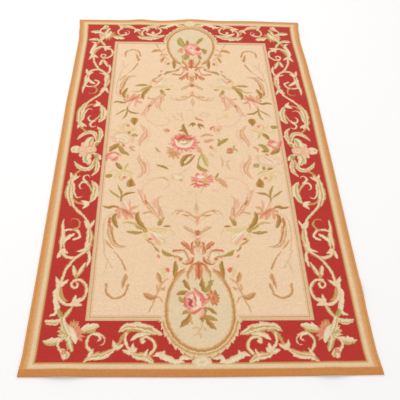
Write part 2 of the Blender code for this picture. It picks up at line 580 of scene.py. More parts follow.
@dataclass(frozen=True)
class SideBorder:
    """The acanthus and scrolls up a long border, from its middle down to the near left corner."""

    def motifs(self) -> Iterable[Motif]:
        """Gives the scrollwork in the order that it is worked.

        Yields:
            Each motif, worked over those before it.
        """
        yield from self.by_the_flower()
        yield from self.upper_ring()
        yield from self.lower_ring()
        yield from self.last_scroll()

    def by_the_flower(self) -> Iterable[Motif]:
        """Gives the sickle and the blade that hold the middle flower.

        Yields:
            Each motif, worked over those before it.
        """
        stripes, even = Shade.STREAKED, Taper.EVEN
        yield Blade(
            ((-399, -40), (-386, -60), (-367, -75), (-346, -74), (-335, -55), (-331, -26)), 18, stripes
        )
        yield Blade(((-331, -34), (-332, -50), (-330, -64)), 5, Shade.SAND)
        yield Blade(((-326, -24), (-321, -52), (-321, -80), (-337, -105)), 17, stripes, lobes=2)
        yield Blade(((-371, -80), (-384, -92), (-394, -106)), 7, Shade.SAND, even)
        yield Fan((-395, -122), ((106, 32), (62, 26), (38, 30)), 11, Shade.IVORY)

    def upper_ring(self) -> Iterable[Motif]:
        """Gives the two great leaves that close round a curl.

        Yields:
            Each motif, worked over those before it.
        """
        ivory, sand, even, tail = Shade.IVORY, Shade.SAND, Taper.EVEN, Taper.TAIL
        yield Blade(
            ((-396, -108), (-400, -145), (-399, -178), (-393, -206), (-388, -228)), 28, Shade.STREAKED,
            lobes=2,
        )
        yield Blade(((-390, -142), (-385, -174), (-373, -194), (-356, -189)), 11, Shade.IVORY_SAND, tail)
        yield Blade(((-352, -129), (-338, -147), (-326, -174)), 10, Shade.SAND_PINK, tail)
        yield Blade(((-333, -125), (-320, -150), (-320, -186), (-333, -216)), 26, Shade.STREAKED, lobes=3)
        yield Blade(((-349, -131), (-363, -132), (-370, -144), (-367, -155), (-359, -159)), 8, ivory, tail)
        yield Blade(((-351, -130), (-361, -117), (-356, -104), (-345, -103), (-340, -112)), 8, ivory, tail)
        yield Blade(((-386, -200), (-371, -214), (-350, -219)), 7, sand, even)
        yield Fan((-334, -217), ((158, 28), (190, 20), (230, 28)), 11, Shade.PALE_LEAF)
        yield Blade(
            ((-388, -205), (-380, -228), (-361, -251), (-340, -274), (-326, -304)), 9, Shade.IVORY_SAND,
            even,
        )

    def lower_ring(self) -> Iterable[Motif]:
        """Gives the leaves and curls of the second ring.

        Yields:
            Each motif, worked over those before it.
        """
        ivory, sand, even, tail = Shade.IVORY, Shade.SAND, Taper.EVEN, Taper.TAIL
        yield Fan((-325, -314), ((118, 36), (90, 22), (65, 38)), 11, ivory)
        yield Blade(
            ((-324, -304), (-320, -340), (-321, -376), (-321, -402)), 23, Shade.SAND_STREAKED, lobes=2
        )
        yield Blade(((-318, -390), (-314, -420), (-319, -447)), 10, ivory)
        yield Blade(((-321, -370), (-333, -388), (-355, -395)), 12, ivory, Taper.TAIL)
        yield Blade(
            ((-404, -275), (-405, -305), (-401, -335), (-403, -366), (-399, -394)), 12, Shade.IVORY_SAND
        )
        yield Blade(((-398, -318), (-394, -350), (-391, -386)), 10, Shade.SAND_IVORY)
        yield Blade(
            ((-399, -320), (-380, -316), (-362, -319), (-352, -331), (-351, -344), (-365, -352)), 7, ivory,
            even,
        )
        yield Blade(
            ((-372, -317), (-357, -308), (-354, -292), (-362, -279), (-378, -277), (-382, -285)), 7, sand,
            tail,
        )
        yield Blade(((-396, -364), (-383, -345), (-363, -330)), 12, Shade.PALE_LEAF)
        yield Fan((-398, -390), ((254, 30), (334, 24), (20, 14)), 12, ivory)
        yield Blade(
            ((-396, -398), (-380, -413), (-355, -415), (-338, -403), (-322, -386)), 10, Shade.IVORY_SAND,
            even,
        )
        yield Blade(((-355, -415), (-369, -437), (-380, -462), (-386, -494)), 9, Shade.IVORY_SAND, even)

    def last_scroll(self) -> Iterable[Motif]:
        """Gives the scroll above the corner flower.

        Yields:
            Each motif, worked over those before it.
        """
        ivory, sand, even = Shade.IVORY, Shade.SAND, Taper.EVEN
        yield Fan((-388, -508), ((116, 35), (42, 31), (150, 14)), 12, ivory)
        yield Fan((-345, -482), ((107, 44), (66, 57)), 13, Shade.IVORY_SAND, Taper.LEAF)
        yield Blade(((-345, -474), (-345, -494)), 8, sand, even)
        yield Blade(
            ((-350, -491), (-331, -490), (-316, -505), (-312, -525), (-319, -545), (-335, -557)), 9,
            Shade.IVORY_SAND, even,
        )
        yield Blade(((-350, -490), (-356, -502), (-349, -513), (-340, -511), (-339, -500)), 6, ivory, even)
        yield Fan((-346, -563), ((78, 29), (42, 30), (352, 28), (8, 20)), 11, ivory)
        yield Blade(((-342, -564), (-365, -563), (-381, -549), (-391, -524), (-390, -506)), 10, ivory, even)
        yield Blade(
            ((-391, -504), (-397, -530), (-391, -556), (-385, -577), (-389, -591), (-404, -598)), 16,
            Shade.PALE_LEAF, lobes=2,
        )
        yield Blade(((-384, -508), (-381, -532), (-373, -547), (-360, -554)), 11, sand)


@dataclass(frozen=True)
class MiddleFlower:
    """The cream flower halfway up a long border, with a bud on each side of its inner petals."""

    def motifs(self) -> Iterable[Motif]:
        """Gives the petals, buds and heart.

        Yields:
            Each motif, worked over those before it.
        """
        peach = Shade.PEACH_PALE
        yield Blade(((-340, 26), (-331, 42), (-317, 51)), 17, Shade.IVORY_MOSS)
        yield Blade(((-340, -6), (-328, -14), (-310, -35)), 19, Shade.IVORY_MOSS)
        yield Blade(((-352, 14), (-368, 28), (-382, 44)), 23, peach)
        yield Blade(((-352, 8), (-370, -4), (-383, -21)), 23, peach)
        yield Patch((-398, 12), (18, 17), Shade.IVORY)
        yield Patch((-405, 12), (8, 10), Shade.IVORY_MOSS)
        yield Patch((-378, 12), (14, 17), peach)
        yield Blade(((-354, 16), (-358, 46), (-345, 72)), 32, Shade.LEAF_CREAM, lobes=2)
        yield Blade(((-352, 4), (-358, -28), (-345, -56)), 31, Shade.LEAF_CREAM, lobes=2)
        yield Patch((-351, 11), (22, 22), peach)
        yield Blade(((-342, 22), (-352, 30), (-364, 26)), 9, Shade.PEACH)
        yield Blade(((-340, 2), (-350, -6), (-364, -2)), 9, Shade.PEACH)
        yield Patch((-347, 12), (9, 9), Shade.LEAF_CREAM)
        yield Patch((-330, 38), (6, 8), Shade.OLIVE)
        yield Patch((-327, -16), (7, 8), Shade.OLIVE)


@dataclass(frozen=True)
class CornerFlower:
    """The spray that turns the corner, with a bud that hangs from it."""

    def motifs(self) -> Iterable[Motif]:
        """Gives the leaves, petals and bud.

        Yields:
            Each motif, worked over those before it.
        """
        cream, even = Shade.LEAF_CREAM, Taper.EVEN
        yield Blade(((-365, -606), (-356, -590), (-344, -568)), 13, Shade.MOSS_IVORY)
        yield Blade(((-366, -606), (-376, -592), (-384, -578)), 13, Shade.MOSS)
        yield Blade(((-416, -611), (-395, -617), (-366, -610)), 18, cream, lobes=2)
        yield Blade(((-411, -669), (-390, -671), (-358, -664)), 22, Shade.IVORY_MOSS, lobes=2)
        yield Blade(((-348, -652), (-340, -678), (-331, -699)), 18, Shade.MOSS_IVORY, lobes=2)
        yield Blade(((-318, -639), (-296, -634), (-268, -626)), 28, Shade.IVORY_MOSS, lobes=2)
        yield Fan(
            (-342, -646),
            ((94, 36), (70, 38), (48, 30), (24, 32), (4, 36), (-16, 40), (-34, 40), (-56, 30)), 11,
            Shade.SAND,
        )
        yield Fan(
            (-344, -646), ((122, 46), (150, 34), (172, 34), (194, 32), (222, 28), (250, 24)), 15, cream
        )
        yield Blade(((-368, -606), (-360, -628), (-350, -646)), 14, cream, even)
        yield Blade(((-376, -640), (-362, -646), (-350, -650)), 5, Shade.SAND)
        yield Blade(((-347, -626), (-335, -645), (-324, -676)), 15, Shade.PALE_LEAF)
        yield Blade(((-367, -664), (-371, -680), (-363, -694)), 6, Shade.IVORY, even)
        yield Blade(((-345, -717), (-350, -703), (-366, -688)), 21, Shade.LEAF_CREAM, Taper.DROP)

    def near_motifs(self) -> Iterable[Motif]:
        """Gives what the two near corners have in a warmer dye.

        Yields:
            Each motif, worked over those before it.
        """
        yield Fan(
            (-340, -644), ((84, 36), (62, 34), (40, 28), (20, 30), (0, 34), (-18, 38), (-34, 38)), 12,
            Shade.RUST,
        )
        yield Fan((-338, -646), ((30, 26), (8, 30), (-12, 32), (-30, 32)), 6, Shade.CORAL)
        yield Blade(((-347, -626), (-335, -645), (-324, -676)), 13, Shade.PALE_LEAF)
        yield Blade(((-338, -640), (-329, -656), (-325, -668)), 5, Shade.PALE_FULL)
        yield Patch((-353, -699), (5, 8), Shade.CORAL, -40)


@dataclass(frozen=True)
class EndBorder:
    """The scrolls along an end, from the near left corner in to the oval."""

    def motifs(self) -> Iterable[Motif]:
        """Gives the scrollwork in the order that it is worked.

        Yields:
            Each motif, worked over those before it.
        """
        yield from self.first_scroll()
        yield from self.arch()
        yield from self.second_scroll()

    def first_scroll(self) -> Iterable[Motif]:
        """Gives the scroll beside the corner flower.

        Yields:
            Each motif, worked over those before it.
        """
        even, tail = Taper.EVEN, Taper.TAIL
        yield Blade(
            (
                (-282, -700), (-296, -680), (-295, -659), (-280, -647), (-262, -650), (-251, -663),
                (-254, -677), (-266, -680),
            ),
            9, Shade.SAND_IVORY, tail,
        )
        yield Blade(((-280, -648), (-266, -653), (-262, -664), (-272, -670)), 8, Shade.PALE_LEAF, tail)
        yield Blade(
            ((-302, -726), (-284, -712), (-258, -708), (-238, -700), (-221, -688)), 21, Shade.SAND_STREAKED,
            lobes=2,
        )
        yield Blade(((-288, -708), (-283, -698), (-278, -688)), 9, Shade.IVORY, tail)
        yield Fan((-221, -692), ((108, 28), (72, 22), (38, 26)), 11, Shade.IVORY)
        yield Blade(((-214, -676), (-204, -655), (-188, -639)), 9, Shade.SAND, even)

    def arch(self) -> Iterable[Motif]:
        """Gives the arched leaf between the two scrolls.

        Yields:
            Each motif, worked over those before it.
        """
        ivory, even = Shade.IVORY, Taper.EVEN
        yield Blade(((-195, -648), (-198, -665), (-192, -681), (-180, -698)), 7, ivory, even)
        yield Blade(
            ((-217, -643), (-196, -630), (-160, -630), (-128, -640), (-101, -652)), 28, Shade.STREAKED,
            lobes=4,
        )
        yield Blade(((-184, -668), (-172, -657), (-156, -650), (-132, -650)), 14, Shade.PALE_LEAF, lobes=2)
        yield Blade(((-146, -634), (-136, -634), (-126, -638)), 7, Shade.SAND)
        yield Blade(((-182, -634), (-168, -640), (-154, -640)), 5, Shade.SAND)

    def second_scroll(self) -> Iterable[Motif]:
        """Gives the scroll beside the oval and the leaves that run under it.

        Yields:
            Each motif, worked over those before it.
        """
        ivory, even, tail = Shade.IVORY, Taper.EVEN, Taper.TAIL
        yield Blade(
            (
                (-131, -703), (-121, -690), (-121, -675), (-129, -663), (-143, -656), (-155, -662),
                (-155, -672),
            ),
            9, Shade.IVORY_SAND, even,
        )
        yield Patch((-152, -670), (6, 6), ivory)
        yield Fan((-179, -702), ((84, 30), (160, 27), (50, 20)), 12, ivory)
        yield Blade(
            ((-185, -699), (-165, -709), (-143, -711), (-121, -728)), 21, Shade.SAND_STREAKED, lobes=2
        )
        yield Blade(((-146, -706), (-141, -698), (-138, -689)), 9, ivory, tail)
        yield Blade(
            ((-126, -709), (-108, -704), (-92, -712), (-72, -721), (-44, -724)), 17, Shade.PALE_LEAF,
            lobes=3,
        )
        yield Blade(((-104, -710), (-97, -702), (-95, -693)), 11, ivory, tail)
        yield Blade(((-62, -724), (-46, -712), (-24, -716)), 13, Shade.PALE_LEAF, lobes=2)
        yield Blade(((-50, -702), (-34, -708), (-12, -716)), 8, Shade.SAND)


@dataclass(frozen=True)
class Oval:
    """The egg-shaped medallion at an end: its pale ground, its ring and the leafy frame below."""

    centre: Point = (0, -585)
    half_width: float = 91.5
    rise: float = 143
    drop: float = 108
    frame_top: float = -612
    leaves: int = 34
    frame_width: float = 5
    frame_flare: float = 12
    tooth: float = 6

    def levels(self, x: np.ndarray, y: np.ndarray) -> np.ndarray:
        """Gives how far each place lies outside the middle of the ring, in millimetres."""
        dx, dy = x - self.centre[0], y - self.centre[1]
        tall = np.where(dy > 0, self.rise, self.drop)
        level = np.hypot(dx / self.half_width, dy / tall)
        slope = np.hypot(dx / self.half_width**2, dy / tall**2) / np.maximum(level, 1e-6)
        return (level - 1) / np.maximum(slope, 1e-6)

    def work(self, chart: Chart) -> None:
        """Works the frame, the ring and the ground, each inside the last."""
        x0, y0 = self.centre
        window = chart.window((x0 - 130, y0 - 148), (x0 + 130, y0 + 128))
        x, y = chart.places(window)
        out = self.levels(x, y)
        turn = np.abs(np.arctan2(x - x0, y0 - y)) / (2 * math.pi) * self.leaves
        below = step_up(self.frame_top + 4, self.frame_top - 4, y)
        flare = step_up(y0 + 15, self.frame_top - 10, y)
        leafy = self.frame_width + flare * (self.frame_flare + self.tooth * (1 - turn % 1))
        inner = 12 + 3 * (turn * 2 % 1)
        bands = (
            (leafy, Yarn.CREAM, 1.0),
            (inner, Yarn.SAND, below),
            (8.5, Yarn.CREAM, 1.0),
            (4.5, Yarn.TAN_DEEP, 1.0),
            (-1.0, Yarn.TAN, 1.0),
            (-4.5, Yarn.FAINT, 1.0),
            (-7.5, Yarn.OVAL, 1.0),
        )
        open_top = 1 - step_up(y0 + 118, y0 + 128, y)
        for reach, yarn, share in bands:
            cover = np.clip((reach - out) / chart.pitch + 0.5, 0, 1) * share * open_top
            chart.work(window, cover, np.array(to_linear(yarn.value)))
        Patch((x0, y0 - 140), (26, 16), Shade.IVORY).work(chart)


@dataclass(frozen=True)
class Palmette:
    """The plume and volutes between the oval and the middle of the field, left half."""

    def motifs(self) -> Iterable[Motif]:
        """Gives the heart, then the plume, towards the middle of the rug.

        Yields:
            Each motif, worked over those before it.
        """
        yield from self.heart()
        yield from self.volute()
        yield from self.plume()

    def heart(self) -> Iterable[Motif]:
        """Gives the rust heart at the top of the oval and the leaves round it.

        Yields:
            Each motif, worked over those before it.
        """
        tan, horn, drop = Shade.DEEP_TAN, Taper.HORN, Taper.DROP
        yield Blade(((-74, -498), (-60, -473), (-37, -450)), 13, tan, Taper.LEAF)
        yield Blade(((-30, -494), (-31, -470), (-20, -448), (-17, -434)), 11, tan, horn)
        yield Blade(((-17, -492), (-21, -476), (-13, -456)), 8, Shade.FAINT, horn)
        yield Blade(((-12, -494), (-8, -478), (-8, -462)), 6, Shade.PEACH_TAN)
        yield Blade(((0, -426), (0, -452), (0, -488)), 25, Shade.RUST_DEEP, Taper.LEAF, 3)
        yield Blade(((-1, -446), (-9, -436), (-16, -442)), 9, Shade.RUST_FULL)
        yield Blade(((-3, -456), (-9, -450), (-11, -462)), 6, Shade.RUST)

    def volute(self) -> Iterable[Motif]:
        """Gives the volute beside the heart.

        Yields:
            Each motif, worked over those before it.
        """
        tail, drop = Taper.TAIL, Taper.DROP
        yield Patch((-47, -412), (24, 20), Shade.PALE_LEAF, 20)
        yield Blade(
            ((-70, -393), (-54, -391), (-40, -393), (-33, -408), (-32, -420)), 11, Shade.RUST_STREAKED,
            tail,
        )
        yield Blade(((-68, -413), (-57, -413), (-47, -421), (-54, -428)), 9, Shade.RUST, tail)
        yield Patch((-52, -420), (6, 5), Shade.RUST_FULL)
        yield Blade(((-15, -412), (-21, -426), (-36, -436), (-50, -430)), 13, Shade.RUST_STREAKED, drop, 2)
        yield Blade(((-31, -408), (-28, -422), (-38, -432)), 6, Shade.RUST)
        yield Blade(((-60, -440), (-50, -446), (-38, -446)), 5, Shade.FAINT)

    def plume(self) -> Iterable[Motif]:
        """Gives the feathers, buds and arms up the axis.

        Yields:
            Each motif, worked over those before it.
        """
        even, tail, horn = Taper.EVEN, Taper.TAIL, Taper.HORN
        yield Blade(((-30, -404), (-38, -384), (-46, -366)), 7, Shade.FAINT)
        yield Blade(((-8, -410), (-17, -398), (-27, -380), (-48, -361)), 15, Shade.RUST_STREAKED, horn, 3)
        yield Blade(((-22, -380), (-32, -368), (-44, -356)), 5, Shade.RUST_FULL)
        yield Blade(((-10, -404), (-16, -382), (-14, -360)), 11, Shade.RUST_STREAKED, horn, 2)
        yield Blade(((-13, -388), (-9, -376), (-6, -382)), 5, Shade.RUST)
        yield Blade(((0, -424), (0, -404), (0, -386)), 10, Shade.PALE_LEAF)
        yield Blade(((0, -400), (-3, -384), (0, -366)), 5, Shade.ROSE_PALE)
        yield Blade(((0, -380), (-3, -362), (0, -340)), 11, Shade.DEEP_TAN)
        yield Blade(((-1, -352), (-12, -326), (-42, -303)), 11, Shade.SCROLL, horn, 3)
        yield Blade(((-1, -360), (-12, -342), (-26, -332)), 5, Shade.FAINT)
        yield Patch((0, -341), (4, 6), Shade.PALE_FULL)
        yield Blade(((-4, -318), (-2, -334), (0, -342)), 10, Shade.RUST_DEEP, Taper.DROP)
        yield Blade(
            ((0, -276), (-14, -262), (-30, -250), (-52, -243), (-70, -248), (-82, -268)), 8, Shade.SCROLL,
            tail,
        )
        yield Blade(((-34, -250), (-50, -247), (-66, -262)), 5, Shade.PEACH_TAN)
        yield Blade(((-14, -264), (-30, -264), (-48, -259)), 6, Shade.TAN_DEEP)
        yield Blade(((-4, -292), (-16, -279), (-34, -268)), 5, Shade.FAINT, even)
        yield Blade(((0, -264), (0, -282), (0, -298)), 11, Shade.RUST, Taper.DROP)
        yield Blade(((0, -262), (-4, -240), (0, -204)), 9, Shade.FAINT)
        yield Blade(((-2, -250), (-3, -232), (0, -215)), 3, Shade.TAN)
        yield Blade(((0, -206), (0, -168)), 3, Shade.STRAW, even)


@dataclass(frozen=True)
class FieldScrolls:
    """The scrolls and sprays up one side of the field, near left quarter."""

    def motifs(self) -> Iterable[Motif]:
        """Gives the scrollwork from the corner up to the middle.

        Yields:
            Each motif, worked over those before it.
        """
        yield from self.corner_scroll()
        yield from self.oval_sprigs()
        yield from self.crescent()
        yield from self.lily()
        yield from self.spray()
        yield from self.long_scrolls()
        yield from self.side_buds()

    def corner_scroll(self) -> Iterable[Motif]:
        """Gives the crook in the corner of the field and the stem that leaves it.

        Yields:
            Each motif, worked over those before it.
        """
        even, tail = Taper.EVEN, Taper.TAIL
        yield Blade(
            ((-259, -502), (-256, -530), (-231, -545), (-207, -533), (-199, -503)), 7, Shade.TAN_DEEP, even
        )
        yield Blade(((-215, -518), (-211, -494), (-207, -466)), 10, Shade.TAN_DEEP)
        yield Blade(((-204, -470), (-202, -482), (-206, -492)), 6, Shade.TAN)
        yield Blade(((-209, -454), (-217, -435), (-230, -412), (-248, -390)), 7, Shade.TAN_DEEP, tail)
        yield Blade(((-276, -390), (-264, -418), (-246, -450)), 4, Shade.SHADOW, even)
        yield Blade(((-262, -425), (-264, -446), (-269, -472)), 4, Shade.SHADOW)

    def crescent(self) -> Iterable[Motif]:
        """Gives the tall crescent beside the border and the leaf on it.

        Yields:
            Each motif, worked over those before it.
        """
        even, tail = Taper.EVEN, Taper.TAIL
        yield Blade(
            ((-250, -255), (-275, -270), (-282, -305), (-280, -345), (-272, -390)), 4, Shade.SHADOW, even
        )
        yield Blade(((-276, -350), (-263, -368), (-247, -388)), 7, Shade.TAN)
        yield Blade(
            ((-266, -268), (-266, -300), (-259, -338), (-247, -366), (-226, -378), (-208, -376)), 15,
            Shade.SCROLL, lobes=3,
        )
        yield Blade(((-256, -300), (-253, -330), (-247, -352), (-236, -366)), 5, Shade.TAN_DEEP)
        yield Blade(((-263, -268), (-264, -284), (-266, -304)), 8, Shade.RUST_FULL)
        yield Blade(((-244, -254), (-252, -268), (-250, -286), (-238, -312)), 15, Shade.BROWN)

    def lily(self) -> Iterable[Motif]:
        """Gives the coral lily, its leaves and the forked sprig above it.

        Yields:
            Each motif, worked over those before it.
        """
        horn, even = Taper.HORN, Taper.EVEN
        yield Blade(((-235, -195), (-232, -214), (-220, -238), (-208, -254)), 16, Shade.PEACH_PALE, horn)
        yield Blade(((-206, -200), (-210, -222), (-206, -246)), 10, Shade.ROSE_PALE)
        yield Blade(((-226, -206), (-216, -226), (-208, -244)), 6, Shade.PALE_FULL)
        yield Blade(((-204, -252), (-200, -236), (-180, -228)), 11, Shade.PEACH)
        yield Blade(((-290, -226), (-274, -233), (-252, -228), (-238, -234)), 11, Shade.BROWN)
        yield Fan((-236, -236), ((-94, 40), (-60, 44), (-140, 22)), 11, Shade.PEACH, horn)
        yield Fan((-216, -248), ((-84, 32), (-50, 36), (-18, 36)), 10, Shade.PEACH, horn)
        yield Blade(((-250, -232), (-232, -240), (-214, -252), (-190, -272)), 13, Shade.RUST, Taper.LEAF)
        yield Blade(((-230, -244), (-218, -250), (-206, -262)), 7, Shade.CORAL_FULL)
        yield Blade(((-236, -197), (-222, -179), (-190, -171)), 9, Shade.BROWN)
        yield Blade(((-235, -197), (-237, -170), (-249, -141)), 8, Shade.OLIVE_BROWN)
        yield Blade(((-236, -197), (-256, -180), (-277, -161)), 7, Shade.OLIVE_BROWN)
        yield Blade(((-235, -194), (-235, -206)), 5, Shade.BROWN, even)

    def spray(self) -> Iterable[Motif]:
        """Gives the spray of leaves and the pale iris between the scrolls.

        Yields:
            Each motif, worked over those before it.
        """
        drop, olive, straw = Taper.DROP, Shade.OLIVE_BROWN, Shade.STRAW_DEEP
        yield Blade(((-162, -308), (-130, -318), (-84, -318)), 20, Shade.STRAW)
        yield Blade(((-84, -318), (-76, -320), (-68, -334)), 9, Shade.STRAW)
        yield Blade(((-146, -314), (-118, -330), (-96, -368)), 17, straw)
        yield Blade(((-156, -322), (-154, -340), (-140, -366)), 14, Shade.STRAW)
        yield Blade(((-148, -316), (-124, -340), (-100, -364)), 13, Shade.PALE)
        yield Blade(((-140, -330), (-128, -350), (-112, -374)), 10, Shade.ROSE_PALE)
        yield Blade(((-130, -326), (-112, -336), (-100, -348)), 6, Shade.PALE_FULL)
        yield Blade(((-126, -352), (-114, -360), (-106, -372)), 6, straw)
        yield Blade(((-148, -355), (-141, -349), (-133, -354)), 7, Shade.RUST_FULL)
        yield Blade(((-154, -352), (-142, -362), (-124, -374)), 7, Shade.DEEP_TAN)
        yield Blade(((-178, -247), (-182, -266), (-174, -290), (-154, -314)), 16, Shade.BROWN)
        yield Blade(((-228, -292), (-204, -289), (-184, -298), (-160, -318)), 9, Shade.STRAW_MOSS)
        yield Blade(((-190, -302), (-176, -309), (-158, -320)), 9, Shade.OLIVE)
        yield Blade(((-214, -323), (-190, -327), (-162, -326)), 12, olive)
        yield Patch((-156, -318), (7, 9), Shade.DEEP_TAN)
        yield Blade(((-116, -302), (-110, -284), (-98, -268)), 14, olive, drop)
        yield Blade(((-103, -304), (-91, -303), (-79, -305)), 8, Shade.BROWN)
        yield Blade(((-130, -374), (-122, -384), (-113, -396)), 7, olive)
        yield Patch((-116, -410), (4, 6), Shade.CORAL, 20)

    def oval_sprigs(self) -> Iterable[Motif]:
        """Gives the leaves and buds beside the oval.

        Yields:
            Each motif, worked over those before it.
        """
        yield Blade(((-107, -388), (-92, -403), (-70, -409)), 13, Shade.OLIVE_BROWN)
        yield Blade(((-67, -424), (-66, -452), (-71, -480)), 14, Shade.BROWN)
        yield Blade(((-96, -440), (-101, -458), (-94, -484)), 13, Shade.STRAW)
        yield Patch((-89, -456), (6, 9), Shade.CORAL_FULL, 15)
        yield Blade(((-118, -462), (-113, -482), (-106, -500)), 13, Shade.DEEP_TAN)
        yield Blade(((-88, -484), (-104, -500), (-116, -530), (-138, -586)), 4, Shade.TAN, Taper.EVEN)
        yield Blade(((-116, -538), (-134, -543), (-156, -529)), 17, Shade.DEEP_TAN)
        yield Blade(((-118, -538), (-107, -548), (-100, -560)), 5, Shade.TAN)
        yield Blade(((-108, -513), (-102, -518), (-92, -510)), 8, Shade.TAN)
        yield Blade(((-112, -526), (-118, -512), (-112, -500)), 6, Shade.TAN)

    def long_scrolls(self) -> Iterable[Motif]:
        """Gives the scrolls that lean in towards the axis, and the thin ring above them.

        Yields:
            Each motif, worked over those before it.
        """
        even, tail = Taper.EVEN, Taper.TAIL
        yield Blade(
            ((-188, -156), (-171, -184), (-158, -212), (-138, -243), (-120, -266), (-113, -284)), 16,
            Shade.FEATHER, lobes=3,
        )
        yield Blade(((-176, -160), (-163, -186), (-158, -206)), 8, Shade.PEACH)
        yield Blade(((-161, -202), (-156, -212), (-151, -222)), 7, Shade.RUST_FULL)
        yield Blade(
            ((-108, -186), (-122, -201), (-121, -222), (-112, -246), (-106, -266), (-108, -284)), 12,
            Shade.FEATHER, Taper.LEAF, 3,
        )
        yield Blade(((-118, -232), (-116, -250), (-114, -266)), 6, Shade.RUST)
        yield Blade(((-130, -194), (-130, -214), (-122, -236)), 8, Shade.MAUVE)
        yield Blade(((-143, -205), (-136, -216), (-128, -240)), 5, Shade.MAUVE)
        yield Blade(((-162, -255), (-146, -250), (-130, -257)), 8, Shade.TAN, tail)
        yield Blade(
            (
                (-166, -190), (-168, -152), (-146, -122), (-118, -110), (-94, -118), (-84, -138),
                (-100, -156),
            ),
            7, Shade.MAUVE_FAINT, even,
        )
        yield Blade(
            ((-182, -6), (-186, -26), (-175, -50), (-167, -74), (-172, -94), (-188, -116)), 17,
            Shade.FEATHER, lobes=4,
        )
        yield Blade(((-166, -20), (-155, -48), (-150, -78), (-158, -108)), 9, Shade.MAUVE_FAINT)
        yield Blade(((-170, -36), (-161, -56), (-160, -80)), 4, Shade.PEACH)

    def side_buds(self) -> Iterable[Motif]:
        """Gives the brown bud and the straw flower behind it.

        Yields:
            Each motif, worked over those before it.
        """
        straw = Shade.STRAW_DEEP
        yield Blade(((-286, -92), (-264, -80), (-246, -92)), 8, Shade.STRAW)
        yield Blade(((-264, -118), (-254, -100), (-238, -86)), 11, Shade.STRAW)
        yield Blade(((-246, -82), (-222, -82), (-198, -98)), 9, straw)
        yield Blade(((-240, -94), (-222, -96), (-202, -110)), 7, Shade.STRAW)
        yield Blade(((-240, -96), (-244, -112), (-230, -126)), 10, straw)
        yield Blade(((-232, -84), (-238, -72), (-232, -60)), 8, Shade.STRAW)
        yield Blade(((-232, -80), (-226, -62), (-218, -46)), 6, Shade.STRAW_MOSS)
        yield Patch((-228, -111), (7, 7), Shade.PEACH)
        yield Patch((-229, -110), (4, 4), Shade.CORAL)
        yield Blade(((-204, -150), (-208, -134), (-207, -112)), 27, Shade.BROWN_BUD, Taper.DROP)
        yield Blade(((-260, -44), (-251, -60), (-239, -78)), 16, Shade.BROWN)


@dataclass(frozen=True)
class NearBouquet:
    """The coral rose and its leaves in the oval at the near end."""

    def motifs(self) -> Iterable[Motif]:
        """Gives the leaves, then the flowers over them."""
        yield from self.leaves()
        yield from self.rose()

    def leaves(self) -> Iterable[Motif]:
        """Gives the leaves above and below the rose.

        Yields:
            Each motif, worked over those before it.
        """
        brown, olive = Shade.BROWN, Shade.OLIVE_BROWN
        yield Blade(((-42, -487), (-37, -502), (-27, -520)), 15, brown, lobes=2)
        yield Blade(((-64, -534), (-50, -530), (-34, -524)), 14, brown, lobes=2)
        yield Blade(((-56, -540), (-50, -550), (-40, -558)), 14, Shade.MOSS)
        yield Blade(((8, -484), (9, -506), (16, -530)), 16, brown, lobes=3)
        yield Blade(((40, -488), (26, -506), (16, -530)), 17, olive, lobes=3)
        yield Blade(((24, -484), (20, -500), (18, -514)), 8, Shade.STRAW)
        yield Blade(((-24, -588), (-36, -586), (-50, -594)), 13, olive, lobes=2)
        yield Blade(((-26, -590), (-36, -610), (-55, -630)), 17, brown, lobes=3)
        yield Blade(((-26, -596), (-26, -610), (-22, -622)), 8, Shade.TAN)
        yield Blade(((16, -570), (8, -592), (4, -618)), 17, brown, lobes=3)
        yield Blade(((16, -572), (32, -582), (44, -594)), 12, brown, lobes=2)
        yield Blade(((14, -596), (28, -604), (46, -612)), 12, olive, lobes=2)
        yield Blade(((12, -600), (26, -622), (41, -638)), 15, brown, lobes=3)
        yield Blade(((0, -634), (-12, -631), (-25, -635)), 6, Shade.TAN_FAINT)
        yield Blade(((5, -612), (2, -630), (-8, -645), (-21, -658)), 6, Shade.TAN_FAINT)
        yield Blade(((-8, -644), (-2, -650), (-1, -660)), 6, Shade.TAN_FAINT)
        yield Blade(((2, -628), (10, -634), (16, -645)), 6, Shade.TAN_FAINT)

    def rose(self) -> Iterable[Motif]:
        """Gives the rose and the rust bud beside it.

        Yields:
            Each motif, worked over those before it.
        """
        coral, rose, pale = Shade.CORAL, Shade.ROSE, Shade.PALE_WHITE
        yield Patch((-9, -552), (19, 27), pale)
        yield Blade(((6, -572), (4, -588), (-2, -604)), 15, Shade.ROSE_PALE)
        yield Blade(((-42, -544), (-30, -531), (-12, -528)), 10, rose)
        yield Blade(((-24, -580), (-37, -562), (-38, -538)), 18, coral, lobes=2)
        yield Blade(((-36, -570), (-28, -584), (-10, -584)), 8, rose)
        yield Blade(((-33, -545), (-24, -554), (-27, -563), (-18, -574)), 9, Shade.CRIMSON)
        yield Blade(((-22, -536), (-14, -550), (-12, -572)), 8, pale)
        yield Blade(((-18, -512), (-4, -530), (8, -548), (6, -572)), 14, coral)
        yield Blade(((-20, -522), (-12, -546), (-12, -574)), 6, Shade.CORAL_FULL)
        yield Blade(((0, -530), (3, -550), (-2, -578)), 5, Shade.CORAL_FULL)
        yield Blade(((-16, -540), (-19, -556), (-14, -574)), 4, rose)
        yield Blade(((-4, -546), (2, -560), (-2, -580)), 6, pale)
        yield Blade(((6, -566), (14, -556), (26, -548)), 15, coral)
        yield Blade(((-30, -593), (-12, -586), (6, -572)), 9, Shade.CORAL_FULL)
        rays = (
            (140, 24), (108, 32), (74, 28), (38, 20), (4, 18), (-32, 20), (-66, 26), (-100, 22), (175, 16)
        )
        yield Patch((38, -545), (13, 18), Shade.RUST)
        yield Fan((37, -546), rays, 13, Shade.RUST_FULL)
        yield Fan((34, -545), ((120, 17), (84, 16), (-34, 12), (-92, 14)), 6, Shade.PEACH)
        yield Patch((38, -546), (5, 9), Shade.RUST_DEEP)


